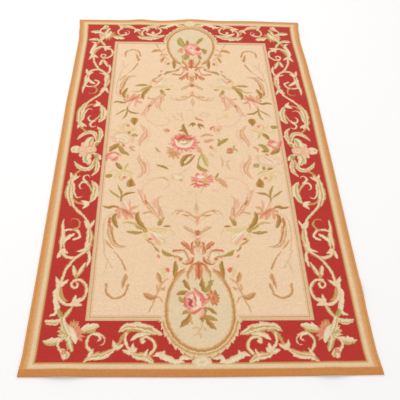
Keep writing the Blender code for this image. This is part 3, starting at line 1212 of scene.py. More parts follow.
@dataclass(frozen=True)
class FarBouquet:
    """The pink rose and its leaves in the oval at the far end."""

    def motifs(self) -> Iterable[Motif]:
        """Gives the leaves, then the flowers over them."""
        yield from self.leaves()
        yield from self.rose()

    def leaves(self) -> Iterable[Motif]:
        """Gives the leaves above and below the rose.

        Yields:
            Each motif, worked over those before it.
        """
        brown, olive = Shade.BROWN, Shade.OLIVE_BROWN
        yield Blade(((-20, 574), (-38, 602), (-44, 642)), 28, Shade.OLIVE_LEAF, lobes=4)
        yield Blade(((-18, 578), (-14, 602), (-12, 626)), 14, brown, lobes=2)
        yield Blade(((24, 596), (34, 616), (50, 640)), 18, olive, lobes=3)
        yield Blade(((36, 592), (42, 604), (44, 616)), 8, Shade.STRAW)
        yield Blade(((42, 570), (54, 556), (54, 534)), 20, olive, lobes=2)
        yield Blade(((26, 534), (34, 518), (41, 500)), 13, brown, lobes=2)
        yield Blade(((-16, 550), (-16, 522), (-26, 496)), 22, olive, lobes=3)
        yield Blade(((-22, 532), (-32, 520), (-36, 506)), 10, Shade.MOSS)
        yield Blade(((20, 520), (22, 508), (18, 496)), 8, Shade.STRAW)

    def rose(self) -> Iterable[Motif]:
        """Gives the bud at the left and the rose.

        Yields:
            Each motif, worked over those before it.
        """
        rose, coral, pale = Shade.ROSE, Shade.CORAL_FULL, Shade.PALE_WHITE
        yield Fan((-34, 556), ((170, 22), (120, 20), (210, 22), (250, 20)), 14, Shade.PEACH)
        yield Blade(((-52, 548), (-40, 556), (-28, 572)), 10, Shade.RUST)
        yield Patch((8, 562), (30, 36), Shade.ROSE_PALE, -20)
        yield Blade(((4, 592), (-8, 572), (0, 548), (16, 536)), 11, pale)
        yield Blade(((-22, 558), (-16, 584), (4, 598), (26, 596)), 9, rose)
        yield Blade(((-26, 572), (-18, 552), (-4, 538), (12, 522)), 9, coral)
        yield Blade(((-2, 580), (-10, 562), (0, 546), (12, 540)), 6, rose)
        yield Blade(((10, 584), (4, 566), (12, 550), (26, 546)), 6, pale)
        yield Blade(((10, 590), (2, 576), (6, 560)), 5, rose)
        yield Patch((29, 567), (12, 13), Shade.CORAL_DEEP)
        yield Blade(((20, 552), (30, 550), (40, 556)), 5, pale)
        yield Blade(((18, 534), (30, 540), (42, 546)), 9, rose)
        yield Blade(((22, 526), (34, 532), (42, 540)), 6, Shade.CORAL)


@dataclass(frozen=True)
class SideFlowers:
    """The two flowers at each side of the field's middle, which are not alike."""

    def motifs(self) -> Iterable[Motif]:
        """Gives the left pair and then the right pair."""
        yield from self.left_pair()
        yield from self.right_pair()

    def left_pair(self) -> Iterable[Motif]:
        """Gives the pale rose and the coral flower below it.

        Yields:
            Each motif, worked over those before it.
        """
        peach, faint, coral = Shade.PEACH_PALE, Shade.MAUVE_FAINT, Shade.CORAL
        yield Patch((-244, 66), (38, 30), Shade.PALE_LEAF)
        yield Blade(((-278, 86), (-252, 92), (-222, 84)), 9, Shade.ROSE_PALE)
        yield Blade(((-288, 80), (-280, 68), (-264, 58)), 17, peach)
        yield Blade(((-228, 84), (-212, 68), (-212, 42)), 13, peach)
        yield Blade(((-256, 78), (-236, 74), (-222, 58), (-224, 44)), 7, faint)
        yield Blade(((-276, 50), (-256, 44), (-240, 50)), 12, peach)
        yield Blade(((-262, 66), (-246, 62), (-236, 50)), 6, Shade.ROSE_PALE)
        yield Blade(((-254, 58), (-252, 48), (-240, 44)), 6, Shade.ROSE)
        yield Blade(((-288, 2), (-272, 24), (-254, 40)), 21, Shade.BROWN, lobes=2)
        yield Blade(((-254, 34), (-244, 8), (-218, -14)), 18, Shade.OLIVE_BROWN, lobes=2)
        yield Blade(((-246, 42), (-241, 34), (-242, 22)), 11, Shade.RUST)
        yield Fan((-216, 18), ((40, 20), (90, 14), (-38, 22)), 8, Shade.PEACH_TAN)
        yield Patch((-203, 81), (12, 7), Shade.OLIVE, -10)
        yield Patch((-223, 93), (6, 8), Shade.OLIVE_BROWN)
        yield Patch((-272, -18), (18, 16), Shade.ROSE_PALE)
        yield Blade(((-291, -42), (-290, -16), (-272, 2)), 13, coral)
        yield Blade(((-282, 2), (-262, -4), (-244, -18)), 8, coral)
        yield Blade(((-276, -38), (-264, -34), (-256, -22)), 14, coral)
        yield Blade(((-280, -14), (-268, -12), (-256, -18)), 6, Shade.PALE_FULL)
        yield Patch((-280, -104), (12, 9), Shade.OLIVE_BROWN, 10)

    def right_pair(self) -> Iterable[Motif]:
        """Gives the coral flower and the pale rose below it.

        Yields:
            Each motif, worked over those before it.
        """
        peach, faint, coral = Shade.PEACH_PALE, Shade.MAUVE_FAINT, Shade.CORAL
        yield Patch((246, -32), (40, 32), Shade.PALE_LEAF)
        yield Blade(((214, -4), (208, -22), (216, -44)), 13, peach)
        yield Blade(((236, -8), (238, -24), (254, -36), (258, -48)), 8, Shade.ROSE_PALE)
        yield Blade(((222, -46), (242, -56), (266, -66)), 10, peach)
        yield Blade(((262, -24), (280, -28), (284, -44), (272, -54)), 12, faint)
        yield Blade(((224, -16), (230, -36), (248, -46)), 6, faint)
        yield Blade(((244, -20), (258, -20), (270, -34)), 6, peach)
        yield Patch((270, 42), (20, 18), Shade.ROSE_PALE)
        yield Patch((264, 55), (11, 8), coral, 20)
        yield Blade(((297, 62), (290, 42), (286, 22)), 14, coral)
        yield Blade(((244, 44), (258, 38), (270, 26)), 8, coral)
        yield Blade(((286, 24), (274, 24), (264, 32)), 10, coral)
        yield Blade(((270, 46), (278, 40), (284, 48)), 6, Shade.PALE_FULL)
        yield Blade(((254, -4), (270, 6), (292, 24)), 20, Shade.BROWN, lobes=2)
        yield Blade(((218, 42), (236, 30), (252, 6)), 19, Shade.OLIVE_BROWN, lobes=2)
        yield Blade(((226, 6), (238, 10), (248, 6)), 10, Shade.BROWN)
        yield Blade(((198, 30), (212, 22), (214, 4)), 11, Shade.PEACH_TAN)
        yield Blade(((240, 0), (244, -8), (248, -14)), 10, Shade.RUST)
        yield Patch((203, -56), (11, 9), Shade.OLIVE, 20)
        yield Patch((226, -68), (6, 8), Shade.OLIVE_BROWN)
        yield Patch((282, 126), (12, 9), Shade.OLIVE_BROWN, -10)


@dataclass(frozen=True)
class CentreSpray:
    """The loose bunch in the middle of the field: two coral flowers, buds and leaves."""

    def motifs(self) -> Iterable[Motif]:
        """Gives the faint leaves first and the flowers last.

        Yields:
            Each motif, worked over those before it.
        """
        yield from self.faint_leaves()
        yield from self.tan_flowers()
        yield from self.great_flower()
        yield from self.leaves()
        yield from self.lesser_flower()
        yield from self.buds()

    def faint_leaves(self) -> Iterable[Motif]:
        """Gives the leaves that hardly stand off the ground.

        Yields:
            Each motif, worked over those before it.
        """
        faint = Shade.FAINT
        yield Blade(((-74, 190), (-64, 168), (-50, 156)), 10, faint)
        yield Blade(((-44, 204), (-40, 180), (-36, 150)), 5, Shade.SHADOW)
        yield Blade(((-62, 200), (-50, 186), (-42, 170)), 6, faint)
        yield Blade(((24, 186), (38, 198), (56, 188), (44, 178), (28, 180)), 8, faint, Taper.EVEN)
        yield Blade(((6, 178), (16, 164), (36, 155)), 10, Shade.RUST_RIGHT)
        yield Blade(((-24, 204), (-6, 210), (4, 196)), 7, Shade.STRAW)
        yield Patch((116, 178), (9, 12), Shade.STRAW)
        yield Blade(((86, -12), (92, -38), (89, -68)), 8, Shade.TAN_FAINT)
        yield Blade(((122, -30), (106, -44), (116, -78)), 8, Shade.TAN_FAINT)
        yield Blade(((106, -44), (102, -58), (106, -70)), 5, faint)
        yield Blade(((50, -160), (62, -166), (74, -160)), 10, faint)
        yield Blade(((-30, -166), (-16, -172), (-4, -166)), 7, Shade.STRAW)
        yield Blade(((26, -150), (18, -162), (14, -176)), 4, Shade.TAN_FAINT)
        yield Blade(((-14, -60), (-30, -74), (-44, -90)), 3, Shade.SHADOW, Taper.EVEN)
        yield Blade(((48, 0), (58, -12), (66, -20)), 10, Shade.PEACH_PALE)
        yield Blade(((-90, -60), (-80, -58), (-76, -68)), 4, faint)

    def tan_flowers(self) -> Iterable[Motif]:
        """Gives the tan flower behind the great one, and the tan petals under it.

        Yields:
            Each motif, worked over those before it.
        """
        tan = Shade.PEACH_TAN
        yield Fan(
            (-64, 8), ((150, 34), (178, 32), (205, 36), (232, 40), (258, 42), (286, 38), (312, 26)), 14,
            tan,
        )
        yield Fan((-66, 2), ((190, 20), (240, 24), (280, 22)), 9, Shade.DEEP_TAN)
        yield Blade(((6, 38), (14, 18), (24, -4)), 18, tan)
        yield Blade(((2, 22), (6, 10), (8, 0)), 12, Shade.PEACH_PALE)
        yield Blade(((20, 74), (42, 87), (70, 80)), 9, Shade.TAN)
        yield Blade(((32, 50), (50, 57), (70, 62)), 14, tan)
        yield Patch((-94, 105), (12, 9), Shade.PEACH, -15)
        yield Patch((-90, 103), (6, 5), Shade.DEEP_TAN)

    def great_flower(self) -> Iterable[Motif]:
        """Gives the great coral flower, open towards the far end.

        Yields:
            Each motif, worked over those before it.
        """
        centre = (-34, 46)
        yield Bloom(centre, 54, 20, Shade.ROSE_PALE, Shade.ROSE, 0.6, 0.9, 9, 0.12)
        yield Bloom(centre, 46, 18, Shade.CORAL, Shade.CORAL_FULL, 0.6, 0.92, 0, 0.2)
        yield Fan((-30, 40), ((28, 50), (8, 54), (-12, 46)), 13, Shade.CORAL)
        yield Fan((-36, 66), ((150, 36), (118, 30), (90, 28), (62, 30), (30, 36)), 12, Shade.CORAL)
        yield Blade(
            ((-70, 78), (-58, 64), (-48, 70), (-38, 80), (-28, 68), (-18, 66), (-2, 76)), 13,
            Shade.CORAL_DEEP,
        )
        yield Blade(((-66, 66), (-52, 38), (-34, 32), (-16, 38), (-2, 62)), 19, Shade.PALE_WHITE)
        yield Patch((-34, 46), (24, 14), Shade.PALE_WHITE)
        yield Blade(
            ((-62, 60), (-54, 50), (-46, 60), (-38, 54), (-30, 62), (-20, 50), (-8, 60)), 6, Shade.OLIVE
        )
        yield Blade(((-50, 46), (-34, 40), (-18, 46)), 5, Shade.DEEP_TAN)

    def leaves(self) -> Iterable[Motif]:
        """Gives the brown and olive leaves.

        Yields:
            Each motif, worked over those before it.
        """
        brown, olive = Shade.BROWN, Shade.OLIVE_BROWN
        yield Blade(((-18, 76), (-29, 100), (-36, 122), (-33, 142)), 15, brown, lobes=2)
        yield Blade(((-26, 96), (-38, 106), (-52, 103)), 13, brown)
        yield Fan((0, 147), ((228, 28), (264, 24), (300, 18)), 8, brown)
        yield Fan((16, 141), ((-74, 34), (-44, 32), (-28, 26)), 8, brown)
        yield Blade(((78, 30), (94, 50), (119, 69)), 17, olive, lobes=2)
        yield Blade(((92, 48), (86, 58), (82, 68)), 9, Shade.OLIVE)
        yield Blade(((134, 12), (134, 26), (138, 40)), 7, Shade.OLIVE)
        yield Blade(((136, 22), (142, 14), (145, 4)), 5, Shade.OLIVE)
        yield Blade(((-43, -66), (-40, -36), (-28, -16), (-4, -7)), 17, brown)
        yield Blade(((-42, -62), (-18, -40), (2, -8)), 10, brown)
        yield Blade(((-36, -46), (-26, -34), (-14, -24)), 6, Shade.PALE_LEAF)
        yield Blade(((24, 2), (34, -28), (43, -64)), 18, Shade.STRAW_MOSS)
        yield Blade(((22, -8), (13, -30), (10, -54)), 5, Shade.OLIVE, Taper.EVEN)
        yield Blade(((9, -50), (18, -72), (45, -81)), 15, olive)
        yield Blade(((-128, -56), (-108, -62), (-86, -74)), 9, brown)
        yield Blade(((-132, 28), (-126, 12), (-113, 0)), 7, Shade.OLIVE)
        yield Blade(((76, -90), (70, -102), (62, -114)), 9, olive)
        yield Blade(((60, -116), (80, -122), (102, -152)), 21, Shade.PEACH_TAN, lobes=3)
        yield Blade(((-120, -114), (-102, -111), (-84, -124)), 6, Shade.STRAW_MOSS)

    def lesser_flower(self) -> Iterable[Motif]:
        """Gives the smaller coral flower below.

        Yields:
            Each motif, worked over those before it.
        """
        centre = (24, -118)
        yield Bloom(centre, 33, 12, Shade.ROSE_PALE, Shade.PALE_LEAF, 0.6, 0.8, 10, 0.1)
        yield Fan(
            (20, -124), ((206, 42), (226, 42), (244, 34), (262, 26), (282, 28), (300, 32), (322, 32)), 10,
            Shade.CORAL_FULL,
        )
        yield Fan((36, -122), ((-12, 26), (14, 24), (38, 30), (58, 34)), 10, Shade.CORAL)
        yield Fan((8, -116), ((160, 26), (184, 26), (208, 28)), 9, Shade.CORAL)
        yield Blade(((2, -106), (6, -98), (14, -92)), 11, Shade.CORAL)
        yield Blade(((22, -96), (30, -90), (38, -90)), 8, Shade.PEACH)
        yield Patch((20, -108), (20, 11), Shade.ROSE_PALE)
        yield Patch((18, -106), (12, 6), Shade.PALE_FULL)
        yield Patch((32, -122), (9, 12), Shade.STRAW_MOSS, 20)
        yield Blade(((4, -128), (14, -134), (28, -136)), 7, Shade.PALE_LEAF)

    def buds(self) -> Iterable[Motif]:
        """Gives the buds and small blooms around.

        Yields:
            Each motif, worked over those before it.
        """
        yield Blade(((106, 2), (118, 0), (132, 3)), 6, Shade.BROWN)
        yield Patch((120, 13), (11, 12), Shade.RUST)
        yield Patch((123, 14), (5, 6), Shade.RUST_FULL)
        yield Patch((57, 26), (5, 8), Shade.CORAL, 30)
        yield Patch((68, 14), (8, 9), Shade.STRAW)
        yield Blade(((60, 106), (63, 120), (78, 126)), 11, Shade.CORAL)
        yield Blade(((78, 126), (94, 126), (99, 110)), 10, Shade.MAUVE)
        yield Blade(((74, 96), (86, 92), (98, 98)), 10, Shade.MAUVE_FAINT)
        yield Patch((76, 110), (8, 10), Shade.ROSE_PALE)
        yield Patch((87, 110), (7, 10), Shade.STRAW_MOSS)
        yield Patch((-60, -108), (24, 16), Shade.PALE_LEAF)
        yield Patch((-47, -121), (6, 6), Shade.PEACH)
        yield Patch((-50, -96), (5, 5), Shade.MAUVE)
        yield Patch((-71, -110), (5, 5), Shade.MAUVE)


@dataclass
class Pattern:
    """The rug's whole design, with what repeats worked once and turned over."""

    loom: Loom
    middle_rise: float = 9.0
    rise_fades: Point = (450, 700)
    seed: int = 7
    stray: float = 0.9
    stray_grain: int = 4

    def worked(self, motifs: Iterable[Motif]) -> Chart:
        """Works some motifs into a blank chart.

        Args:
            motifs: What to work, in order.

        Returns:
            The chart, bare where nothing was worked.
        """
        chart = Chart.blank(self.loom)
        for motif in motifs:
            motif.work(chart)
        return chart

    def chart(self) -> Chart:
        """Works the whole design.

        Returns:
            The chart of the rug, covered all over.
        """
        chance = np.random.default_rng(self.seed)
        quarter = self.worked(
            (
                *SideBorder().motifs(),
                *CornerFlower().motifs(),
                *EndBorder().motifs(),
                Oval(),
                *FieldScrolls().motifs(),
                *Palmette().motifs(),
            )
        )
        quarter.mirror_ends(self.middle_rise, self.rise_fades)
        quarter.mirror_sides()
        sides = self.worked((*MiddleFlower().motifs(), *CornerFlower().near_motifs()))
        sides.mirror_sides()
        single = self.worked(
            (
                *NearBouquet().motifs(),
                *FarBouquet().motifs(),
                *SideFlowers().motifs(),
                *CentreSpray().motifs(),
            )
        )
        rug = self.worked((Surround(),))
        for layer in (quarter, sides, single):
            layer.loosen(chance, self.stray, self.stray_grain)
            rug.lay(layer)
        return rug


class Edge(Enum):
    """The four edges of the rug: the axis across each, and which way it faces."""

    LEFT = (0, -1)
    RIGHT = (0, 1)
    NEAR = (1, -1)
    FAR = (1, 1)

    @property
    def axis(self) -> int:
        """Gives the axis that crosses the edge, 0 for X and 1 for Y."""
        return self.value[0]

    @property
    def way(self) -> int:
        """Gives 1 where the edge faces up its axis, and -1 where it faces down."""
        return self.value[1]

    def depth(self, flat: np.ndarray) -> np.ndarray:
        """Gives how far each point of the flat cloth lies in from the edge, in metres."""
        return (WIDTH, LENGTH)[self.axis] / 2 - self.way * flat[:, self.axis]

    def along(self, flat: np.ndarray) -> np.ndarray:
        """Gives the place of each point along the edge, in metres."""
        return flat[:, 1 - self.axis]


@dataclass(frozen=True)
class Ripple:
    """A low wave where an edge lifts off the floor, in metres."""

    edge: Edge
    along: float
    half_length: float
    reach: float
    height: float


def fade(share: np.ndarray) -> np.ndarray:
    """Falls smoothly from 1 at share 0 to 0 at share 1 and beyond, on both sides."""
    share = np.minimum(np.abs(share), 1.0)
    return (1.0 - share) ** 2 * (1.0 + 2.0 * share)


@dataclass(frozen=True)
class RestingShape:
    """How the flat cloth comes to lie: its wandering edges and its ripples, as in the CAD."""

    spread: float = 0.30
    wander: tuple[tuple[Edge, Route], ...] = (
        (
            Edge.LEFT,
            (
                (-0.762, 0.003),
                (-0.700, -0.001),
                (-0.450, -0.002),
                (0.000, -0.001),
                (0.225, 0.000),
                (0.450, -0.004),
                (0.620, -0.006),
                (0.700, -0.002),
                (0.762, 0.004),
            ),
        ),
        (
            Edge.RIGHT,
            (
                (-0.762, 0.003),
                (-0.690, -0.002),
                (-0.375, 0.000),
                (0.000, 0.003),
                (0.225, 0.004),
                (0.450, 0.000),
                (0.640, -0.006),
                (0.700, -0.004),
                (0.762, 0.004),
            ),
        ),
        (
            Edge.NEAR,
            ((-0.457, 0.000), (-0.300, 0.001), (0.000, 0.003), (0.300, 0.002), (0.457, 0.000)),
        ),
        (
            Edge.FAR,
            (
                (-0.457, 0.000),
                (-0.300, 0.000),
                (-0.205, 0.002),
                (-0.125, 0.001),
                (0.000, 0.007),
                (0.120, 0.005),
                (0.300, 0.004),
                (0.457, 0.001),
            ),
        ),
    )
    ripples: tuple[Ripple, ...] = (
        Ripple(Edge.FAR, -0.205, 0.060, 0.050, 0.0045),
        Ripple(Edge.FAR, 0.015, 0.110, 0.075, 0.0050),
        Ripple(Edge.FAR, 0.250, 0.120, 0.050, 0.0020),
        Ripple(Edge.NEAR, -0.345, 0.075, 0.060, 0.0055),
        Ripple(Edge.NEAR, 0.325, 0.055, 0.065, 0.0060),
        Ripple(Edge.RIGHT, -0.520, 0.060, 0.045, 0.0040),
        Ripple(Edge.RIGHT, 0.690, 0.055, 0.040, 0.0035),
        Ripple(Edge.LEFT, 0.690, 0.055, 0.040, 0.0030),
    )

    def outset(self, rows: Route, along: np.ndarray) -> np.ndarray:
        """Reads an edge's outset smoothly between the rows of its table.

        Args:
            rows: Places along the edge and the outset at each, in metres.
            along: Where to read.

        Returns:
            The outset there, in metres.
        """
        places, outsets = np.array(rows).T
        after = np.clip(np.searchsorted(places, along), 1, len(places) - 1)
        share = (along - places[after - 1]) / (places[after] - places[after - 1])
        share = np.clip(share, 0, 1)
        return outsets[after] + (outsets[after - 1] - outsets[after]) * fade(share)

    def pushed(self, flat: np.ndarray) -> np.ndarray:
        """Moves points of the flat cloth to where they come to rest, before it is centred.

        Args:
            flat: Points of the flat cloth, in metres, one row each.

        Returns:
            The points, with the heights they had plus the ripples' lift.
        """
        settled = flat.copy()
        for edge, rows in self.wander:
            push = self.outset(rows, edge.along(flat)) * fade(edge.depth(flat) / self.spread)
            settled[:, edge.axis] += edge.way * push
        for ripple in self.ripples:
            past = (ripple.edge.along(flat) - ripple.along) / ripple.half_length
            settled[:, 2] += (
                ripple.height * fade(past) * fade(ripple.edge.depth(flat) / ripple.reach)
            )
        return settled

    def settle(self, flat: np.ndarray) -> np.ndarray:
        """Lays points of the flat cloth on the floor, with its outline centred on the origin."""
        run = np.linspace(-0.5, 0.5, 400)
        rim = np.ones_like(run) * 0.5
        sides = [np.column_stack((rim * way, run, run * 0)) for way in (-1, 1)]
        ends = [np.column_stack((run, rim * way, run * 0)) for way in (-1, 1)]
        outline = self.pushed(np.vstack((*sides, *ends)) * (WIDTH, LENGTH, 1))
        middle = (outline.min(0) + outline.max(0)) / 2
        return self.pushed(flat) - (middle[0], middle[1], 0)


def add_node(
    tree: bpy.types.NodeTree,
    kind: str,
    inputs: dict[int | str, object] | None = None,
    **settings: object,
) -> bpy.types.Node:
    """Adds a node to a material, with its settings, values and links.

    Args:
        tree: The material's node tree.
        kind: The node's type name.
        inputs: For each input, by name or number, a value or the socket that feeds it.
        **settings: The node's own options.

    Returns:
        The new node.
    """
    node = tree.nodes.new(kind)
    for name, value in settings.items():
        setattr(node, name, value)
    for key, value in (inputs or {}).items():
        if isinstance(value, bpy.types.NodeSocket):
            tree.links.new(value, node.inputs[key])
        else:
            node.inputs[key].default_value = value
    return node


@dataclass(frozen=True)
class NeedlepointWool:
    """Dyed wool yarn, stitched slantwise over a canvas: matt, softly lit at grazing angles.

    The dye comes from the mesh, and so does the place of each stitch, so every stitch's
    relief lies over its own colour. A stitch is about 2.9 mm where the real ones are nearer
    2 mm, so that each one still shows as a grain in a render of the whole rug.
    """

    name: str = "wool yarn, hand stitched"
    stitch_length: float = 0.68
    stitch_width: float = 0.36
    relief: float = 0.0005
    bump_strength: float = 0.35
    fibre_scale: float = 900.0
    fibre_relief: float = 0.35
    patch_scale: float = 7.0
    row_scale: tuple[float, float, float] = (0.04, 0.45, 0.0)
    # each a spread and a least value
    # crown_light paints shade into the base colour, darker in the gaps between stitches
    crown_light: Point = (0.20, 0.88)
    stitch_light: Point = (0.13, 0.935)
    patch_light: Point = (0.06, 0.97)
    row_light: Point = (0.06, 0.97)
    roughness: Point = (0.14, 0.81)

    def value(self, tree: bpy.types.NodeTree, kind: str, *inputs: object) -> bpy.types.NodeSocket:
        """Adds one arithmetic node.

        Args:
            tree: The material's node tree.
            kind: The operation.
            *inputs: What it works on, in order.

        Returns:
            The socket with the result.
        """
        return add_node(
            tree, "ShaderNodeMath", dict(enumerate(inputs)), operation=kind
        ).outputs[0]

    def relief_of(self, tree: bpy.types.NodeTree, stitch: bpy.types.NodeSocket) -> bpy.types.NodeSocket:
        """Builds the height of the yarn: one slanted oval mound in each stitch's square.

        Args:
            tree: The material's node tree.
            stitch: The place on the cloth, counted in stitches.

        Returns:
            A socket that is 1 on the crown of a stitch and 0 in the gap beside it.
        """
        part = add_node(tree, "ShaderNodeVectorMath", {0: stitch}, operation="FRACTION")
        from_middle = add_node(
            tree, "ShaderNodeVectorMath", {0: part.outputs[0], 1: (0.5, 0.5, 0.0)}, operation="SUBTRACT"
        )
        slant = math.sqrt(0.5)
        axes = (
            (slant / self.stitch_length, slant / self.stitch_length, 0.0),
            (slant / self.stitch_width, -slant / self.stitch_width, 0.0),
        )
        squares = []
        for axis in axes:
            reach = add_node(
                tree, "ShaderNodeVectorMath", {0: from_middle.outputs[0], 1: axis}, operation="DOT_PRODUCT"
            )
            squares.append(self.value(tree, "POWER", reach.outputs["Value"], 2.0))
        level = self.value(tree, "SUBTRACT", 1.0, self.value(tree, "ADD", *squares))
        return self.value(tree, "SQRT", self.value(tree, "MAXIMUM", level, 0.0))

    def material(self) -> bpy.types.Material:
        """Builds the wool.

        Returns:
            The material, which reads the mesh attributes "dye" and "stitch".
        """
        wool = bpy.data.materials.new(self.name)
        wool.use_nodes = True
        tree = wool.node_tree
        shader = tree.nodes["Principled BSDF"]
        dye = add_node(tree, "ShaderNodeAttribute", attribute_name="dye").outputs["Color"]
        stitch = add_node(tree, "ShaderNodeAttribute", attribute_name="stitch").outputs["Vector"]
        height = self.relief_of(tree, stitch)
        place = add_node(tree, "ShaderNodeTexCoord").outputs["Object"]
        fibre = add_node(
            tree, "ShaderNodeTexNoise", {"Vector": place, "Scale": self.fibre_scale, "Detail": 2.0}
        ).outputs["Fac"]
        patch = add_node(
            tree, "ShaderNodeTexNoise", {"Vector": place, "Scale": self.patch_scale, "Detail": 3.0}
        ).outputs["Fac"]
        rows = add_node(
            tree, "ShaderNodeVectorMath", {0: stitch, 1: self.row_scale}, operation="MULTIPLY"
        ).outputs[0]
        lots = add_node(
            tree, "ShaderNodeTexNoise", {"Vector": rows, "Scale": 1.0, "Detail": 2.0}
        ).outputs["Fac"]
        whole = add_node(tree, "ShaderNodeVectorMath", {0: stitch}, operation="FLOOR").outputs[0]
        lot = add_node(tree, "ShaderNodeTexWhiteNoise", {"Vector": whole}).outputs["Value"]

        # painted shade: the gap between stitches is darker in the base colour than the crown, and no two
        # stitches match
        crown = self.value(tree, "MULTIPLY_ADD", height, *self.crown_light)
        uneven = self.value(tree, "MULTIPLY_ADD", lot, *self.stitch_light)
        faded = self.value(tree, "MULTIPLY_ADD", patch, *self.patch_light)
        streaked = self.value(tree, "MULTIPLY_ADD", lots, *self.row_light)
        light = self.value(tree, "MULTIPLY", self.value(tree, "MULTIPLY", crown, uneven), faded)
        light = self.value(tree, "MULTIPLY", light, streaked)
        colour = add_node(
            tree, "ShaderNodeVectorMath", {0: dye, "Scale": light}, operation="SCALE"
        ).outputs[0]
        rough = self.value(tree, "MULTIPLY_ADD", fibre, *self.roughness)
        mound = self.value(tree, "MULTIPLY_ADD", fibre, self.fibre_relief, height)
        depth = {"Height": mound, "Distance": self.relief, "Strength": self.bump_strength}
        bump = add_node(tree, "ShaderNodeBump", depth).outputs[0]
        tree.links.new(colour, shader.inputs["Base Color"])
        tree.links.new(rough, shader.inputs["Roughness"])
        tree.links.new(bump, shader.inputs["Normal"])
        for name, constant in (
            ("IOR", 1.55),
            ("Specular IOR Level", 0.25),
            ("Sheen Weight", 0.10),
            ("Sheen Roughness", 0.5),
        ):
            shader.inputs[name].default_value = constant
        return wool


@dataclass
class ClothPanel:
    """One panel of the rug's cloth, as a closed slab with a cell of mesh for each stitch."""

    name: str
    loom: Loom
    shape: RestingShape
    is_field: bool
    rim_steps: int = 2
    blank_size: float = 2.0
    piece: bpy.types.Object | None = field(default=None, init=False)

    def build(self, dyes: Chart, wool: bpy.types.Material) -> bpy.types.Object:
        """Models the panel, dyes it and lays it on the floor.

        Args:
            dyes: The dye of every half stitch.
            wool: The material to dress it in.

        Returns:
            The finished piece.
        """
        self.weave()
        self.cut()
        self.thicken()
        if not self.is_field:
            self.turn_hem()
        self.part_stitches()
        self.dress(dyes, wool)
        self.lay_down()
        return self.piece

    def weave(self) -> None:
        """Adds the grid of cells and moves its rows and columns to the loom's stations."""
        across, along = self.loom.cells
        bpy.ops.object.select_all(action="DESELECT")
        bpy.ops.mesh.primitive_grid_add(
            x_subdivisions=across, y_subdivisions=along, size=self.blank_size
        )
        self.piece = bpy.context.object
        self.piece.name = self.name
        self.piece.data.name = self.name
        points = self.points()
        for axis, count in enumerate((across, along)):
            cell = np.rint((points[:, axis] / self.blank_size + 0.5) * count).astype(int)
            points[:, axis] = self.loom.stations(axis)[cell]
        self.move_points(points)

    def points(self) -> np.ndarray:
        """Gives the vertices of the panel, one row each."""
        flat = np.empty(len(self.piece.data.vertices) * 3)
        self.piece.data.vertices.foreach_get("co", flat)
        return flat.reshape(-1, 3)

    def move_points(self, points: np.ndarray) -> None:
        """Puts the vertices of the panel at new places."""
        self.piece.data.vertices.foreach_set("co", points.ravel())
        self.piece.data.update()

    def face_middles(self) -> np.ndarray:
        """Gives the middle of each face, one row each."""
        middles = np.empty(len(self.piece.data.polygons) * 3)
        self.piece.data.polygons.foreach_get("center", middles)
        return middles.reshape(-1, 3)

    def pick(self, kind: str, chosen: np.ndarray) -> None:
        """Selects some faces or edges and opens edit mode.

        Args:
            kind: "FACE" or "EDGE".
            chosen: True for each one to select.
        """
        mesh = self.piece.data
        for parts in (mesh.vertices, mesh.edges, mesh.polygons):
            parts.foreach_set("select", np.zeros(len(parts), dtype=bool))
        parts = mesh.polygons if kind == "FACE" else mesh.edges
        parts.foreach_set("select", chosen)
        bpy.ops.object.mode_set(mode="EDIT")
        bpy.ops.mesh.select_mode(type=kind)

    def cut(self) -> None:
        """Deletes the cells that belong to the other panel."""
        middles = np.abs(self.face_middles())
        inside = (middles[:, 0] < WIDTH / 2 - BORDER_ACROSS) & (
            middles[:, 1] < LENGTH / 2 - BORDER_ALONG
        )
        self.pick("FACE", ~inside if self.is_field else inside)
        bpy.ops.mesh.delete(type="FACE")
        bpy.ops.object.mode_set(mode="OBJECT")

    def thicken(self) -> None:
        """Gives the cloth its thickness, upwards from the floor."""
        body = self.piece.modifiers.new("thickness", "SOLIDIFY")
        body.thickness = THICKNESS
        body.offset = 1.0
        bpy.ops.object.modifier_apply(modifier=body.name)

    def turn_hem(self) -> None:
        """Rounds the rug's outer rim, top and bottom."""
        mesh = self.piece.data
        ends = np.empty(len(mesh.edges) * 2, dtype=int)
        mesh.edges.foreach_get("vertices", ends)
        points = self.points()[ends].reshape(-1, 2, 3)
        outer = np.zeros(len(mesh.edges), dtype=bool)
        for edge in Edge:
            outer |= (np.abs(edge.depth(points.reshape(-1, 3))) < 1e-5).reshape(-1, 2).all(1)
        level = np.abs(points[:, 0, 2] - points[:, 1, 2]) < 1e-5
        self.pick("EDGE", outer & level)
        bpy.ops.mesh.bevel(offset=RIM_RADIUS, segments=self.rim_steps)
        bpy.ops.object.mode_set(mode="OBJECT")

    def part_stitches(self) -> None:
        """Divides each cell of the upper face into its stitches."""
        self.pick("FACE", self.face_middles()[:, 2] > THICKNESS * 0.99)
        bpy.ops.mesh.subdivide(number_cuts=self.loom.stitches_a_cell - 1)
        bpy.ops.object.mode_set(mode="OBJECT")

    def dress(self, dyes: Chart, wool: bpy.types.Material) -> None:
        """Writes the dye and the stitch count onto the mesh and puts the wool on it.

        Args:
            dyes: The dye of every half stitch.
            wool: The material to dress it in.
        """
        mesh = self.piece.data
        points = self.points()
        corners = np.empty(len(mesh.loops), dtype=int)
        mesh.loops.foreach_get("vertex_index", corners)
        sizes = np.empty(len(mesh.polygons), dtype=int)
        mesh.polygons.foreach_get("loop_total", sizes)
        middles = np.repeat(self.face_middles(), sizes, axis=0)
        quarter = (points[corners] + middles) / 2
        half_stitches = [self.cells_at(quarter[:, axis], axis) for axis in (0, 1)]
        shares = 2 * self.loom.stitches_a_cell
        columns, rows = (
            np.clip((cells * shares).astype(int), 0, dyes.dye.shape[1 - axis] - 1)
            for axis, cells in enumerate(half_stitches)
        )
        dye = mesh.color_attributes.new("dye", "FLOAT_COLOR", "CORNER")
        dye.data.foreach_set("color", dyes.dye[rows, columns].ravel())

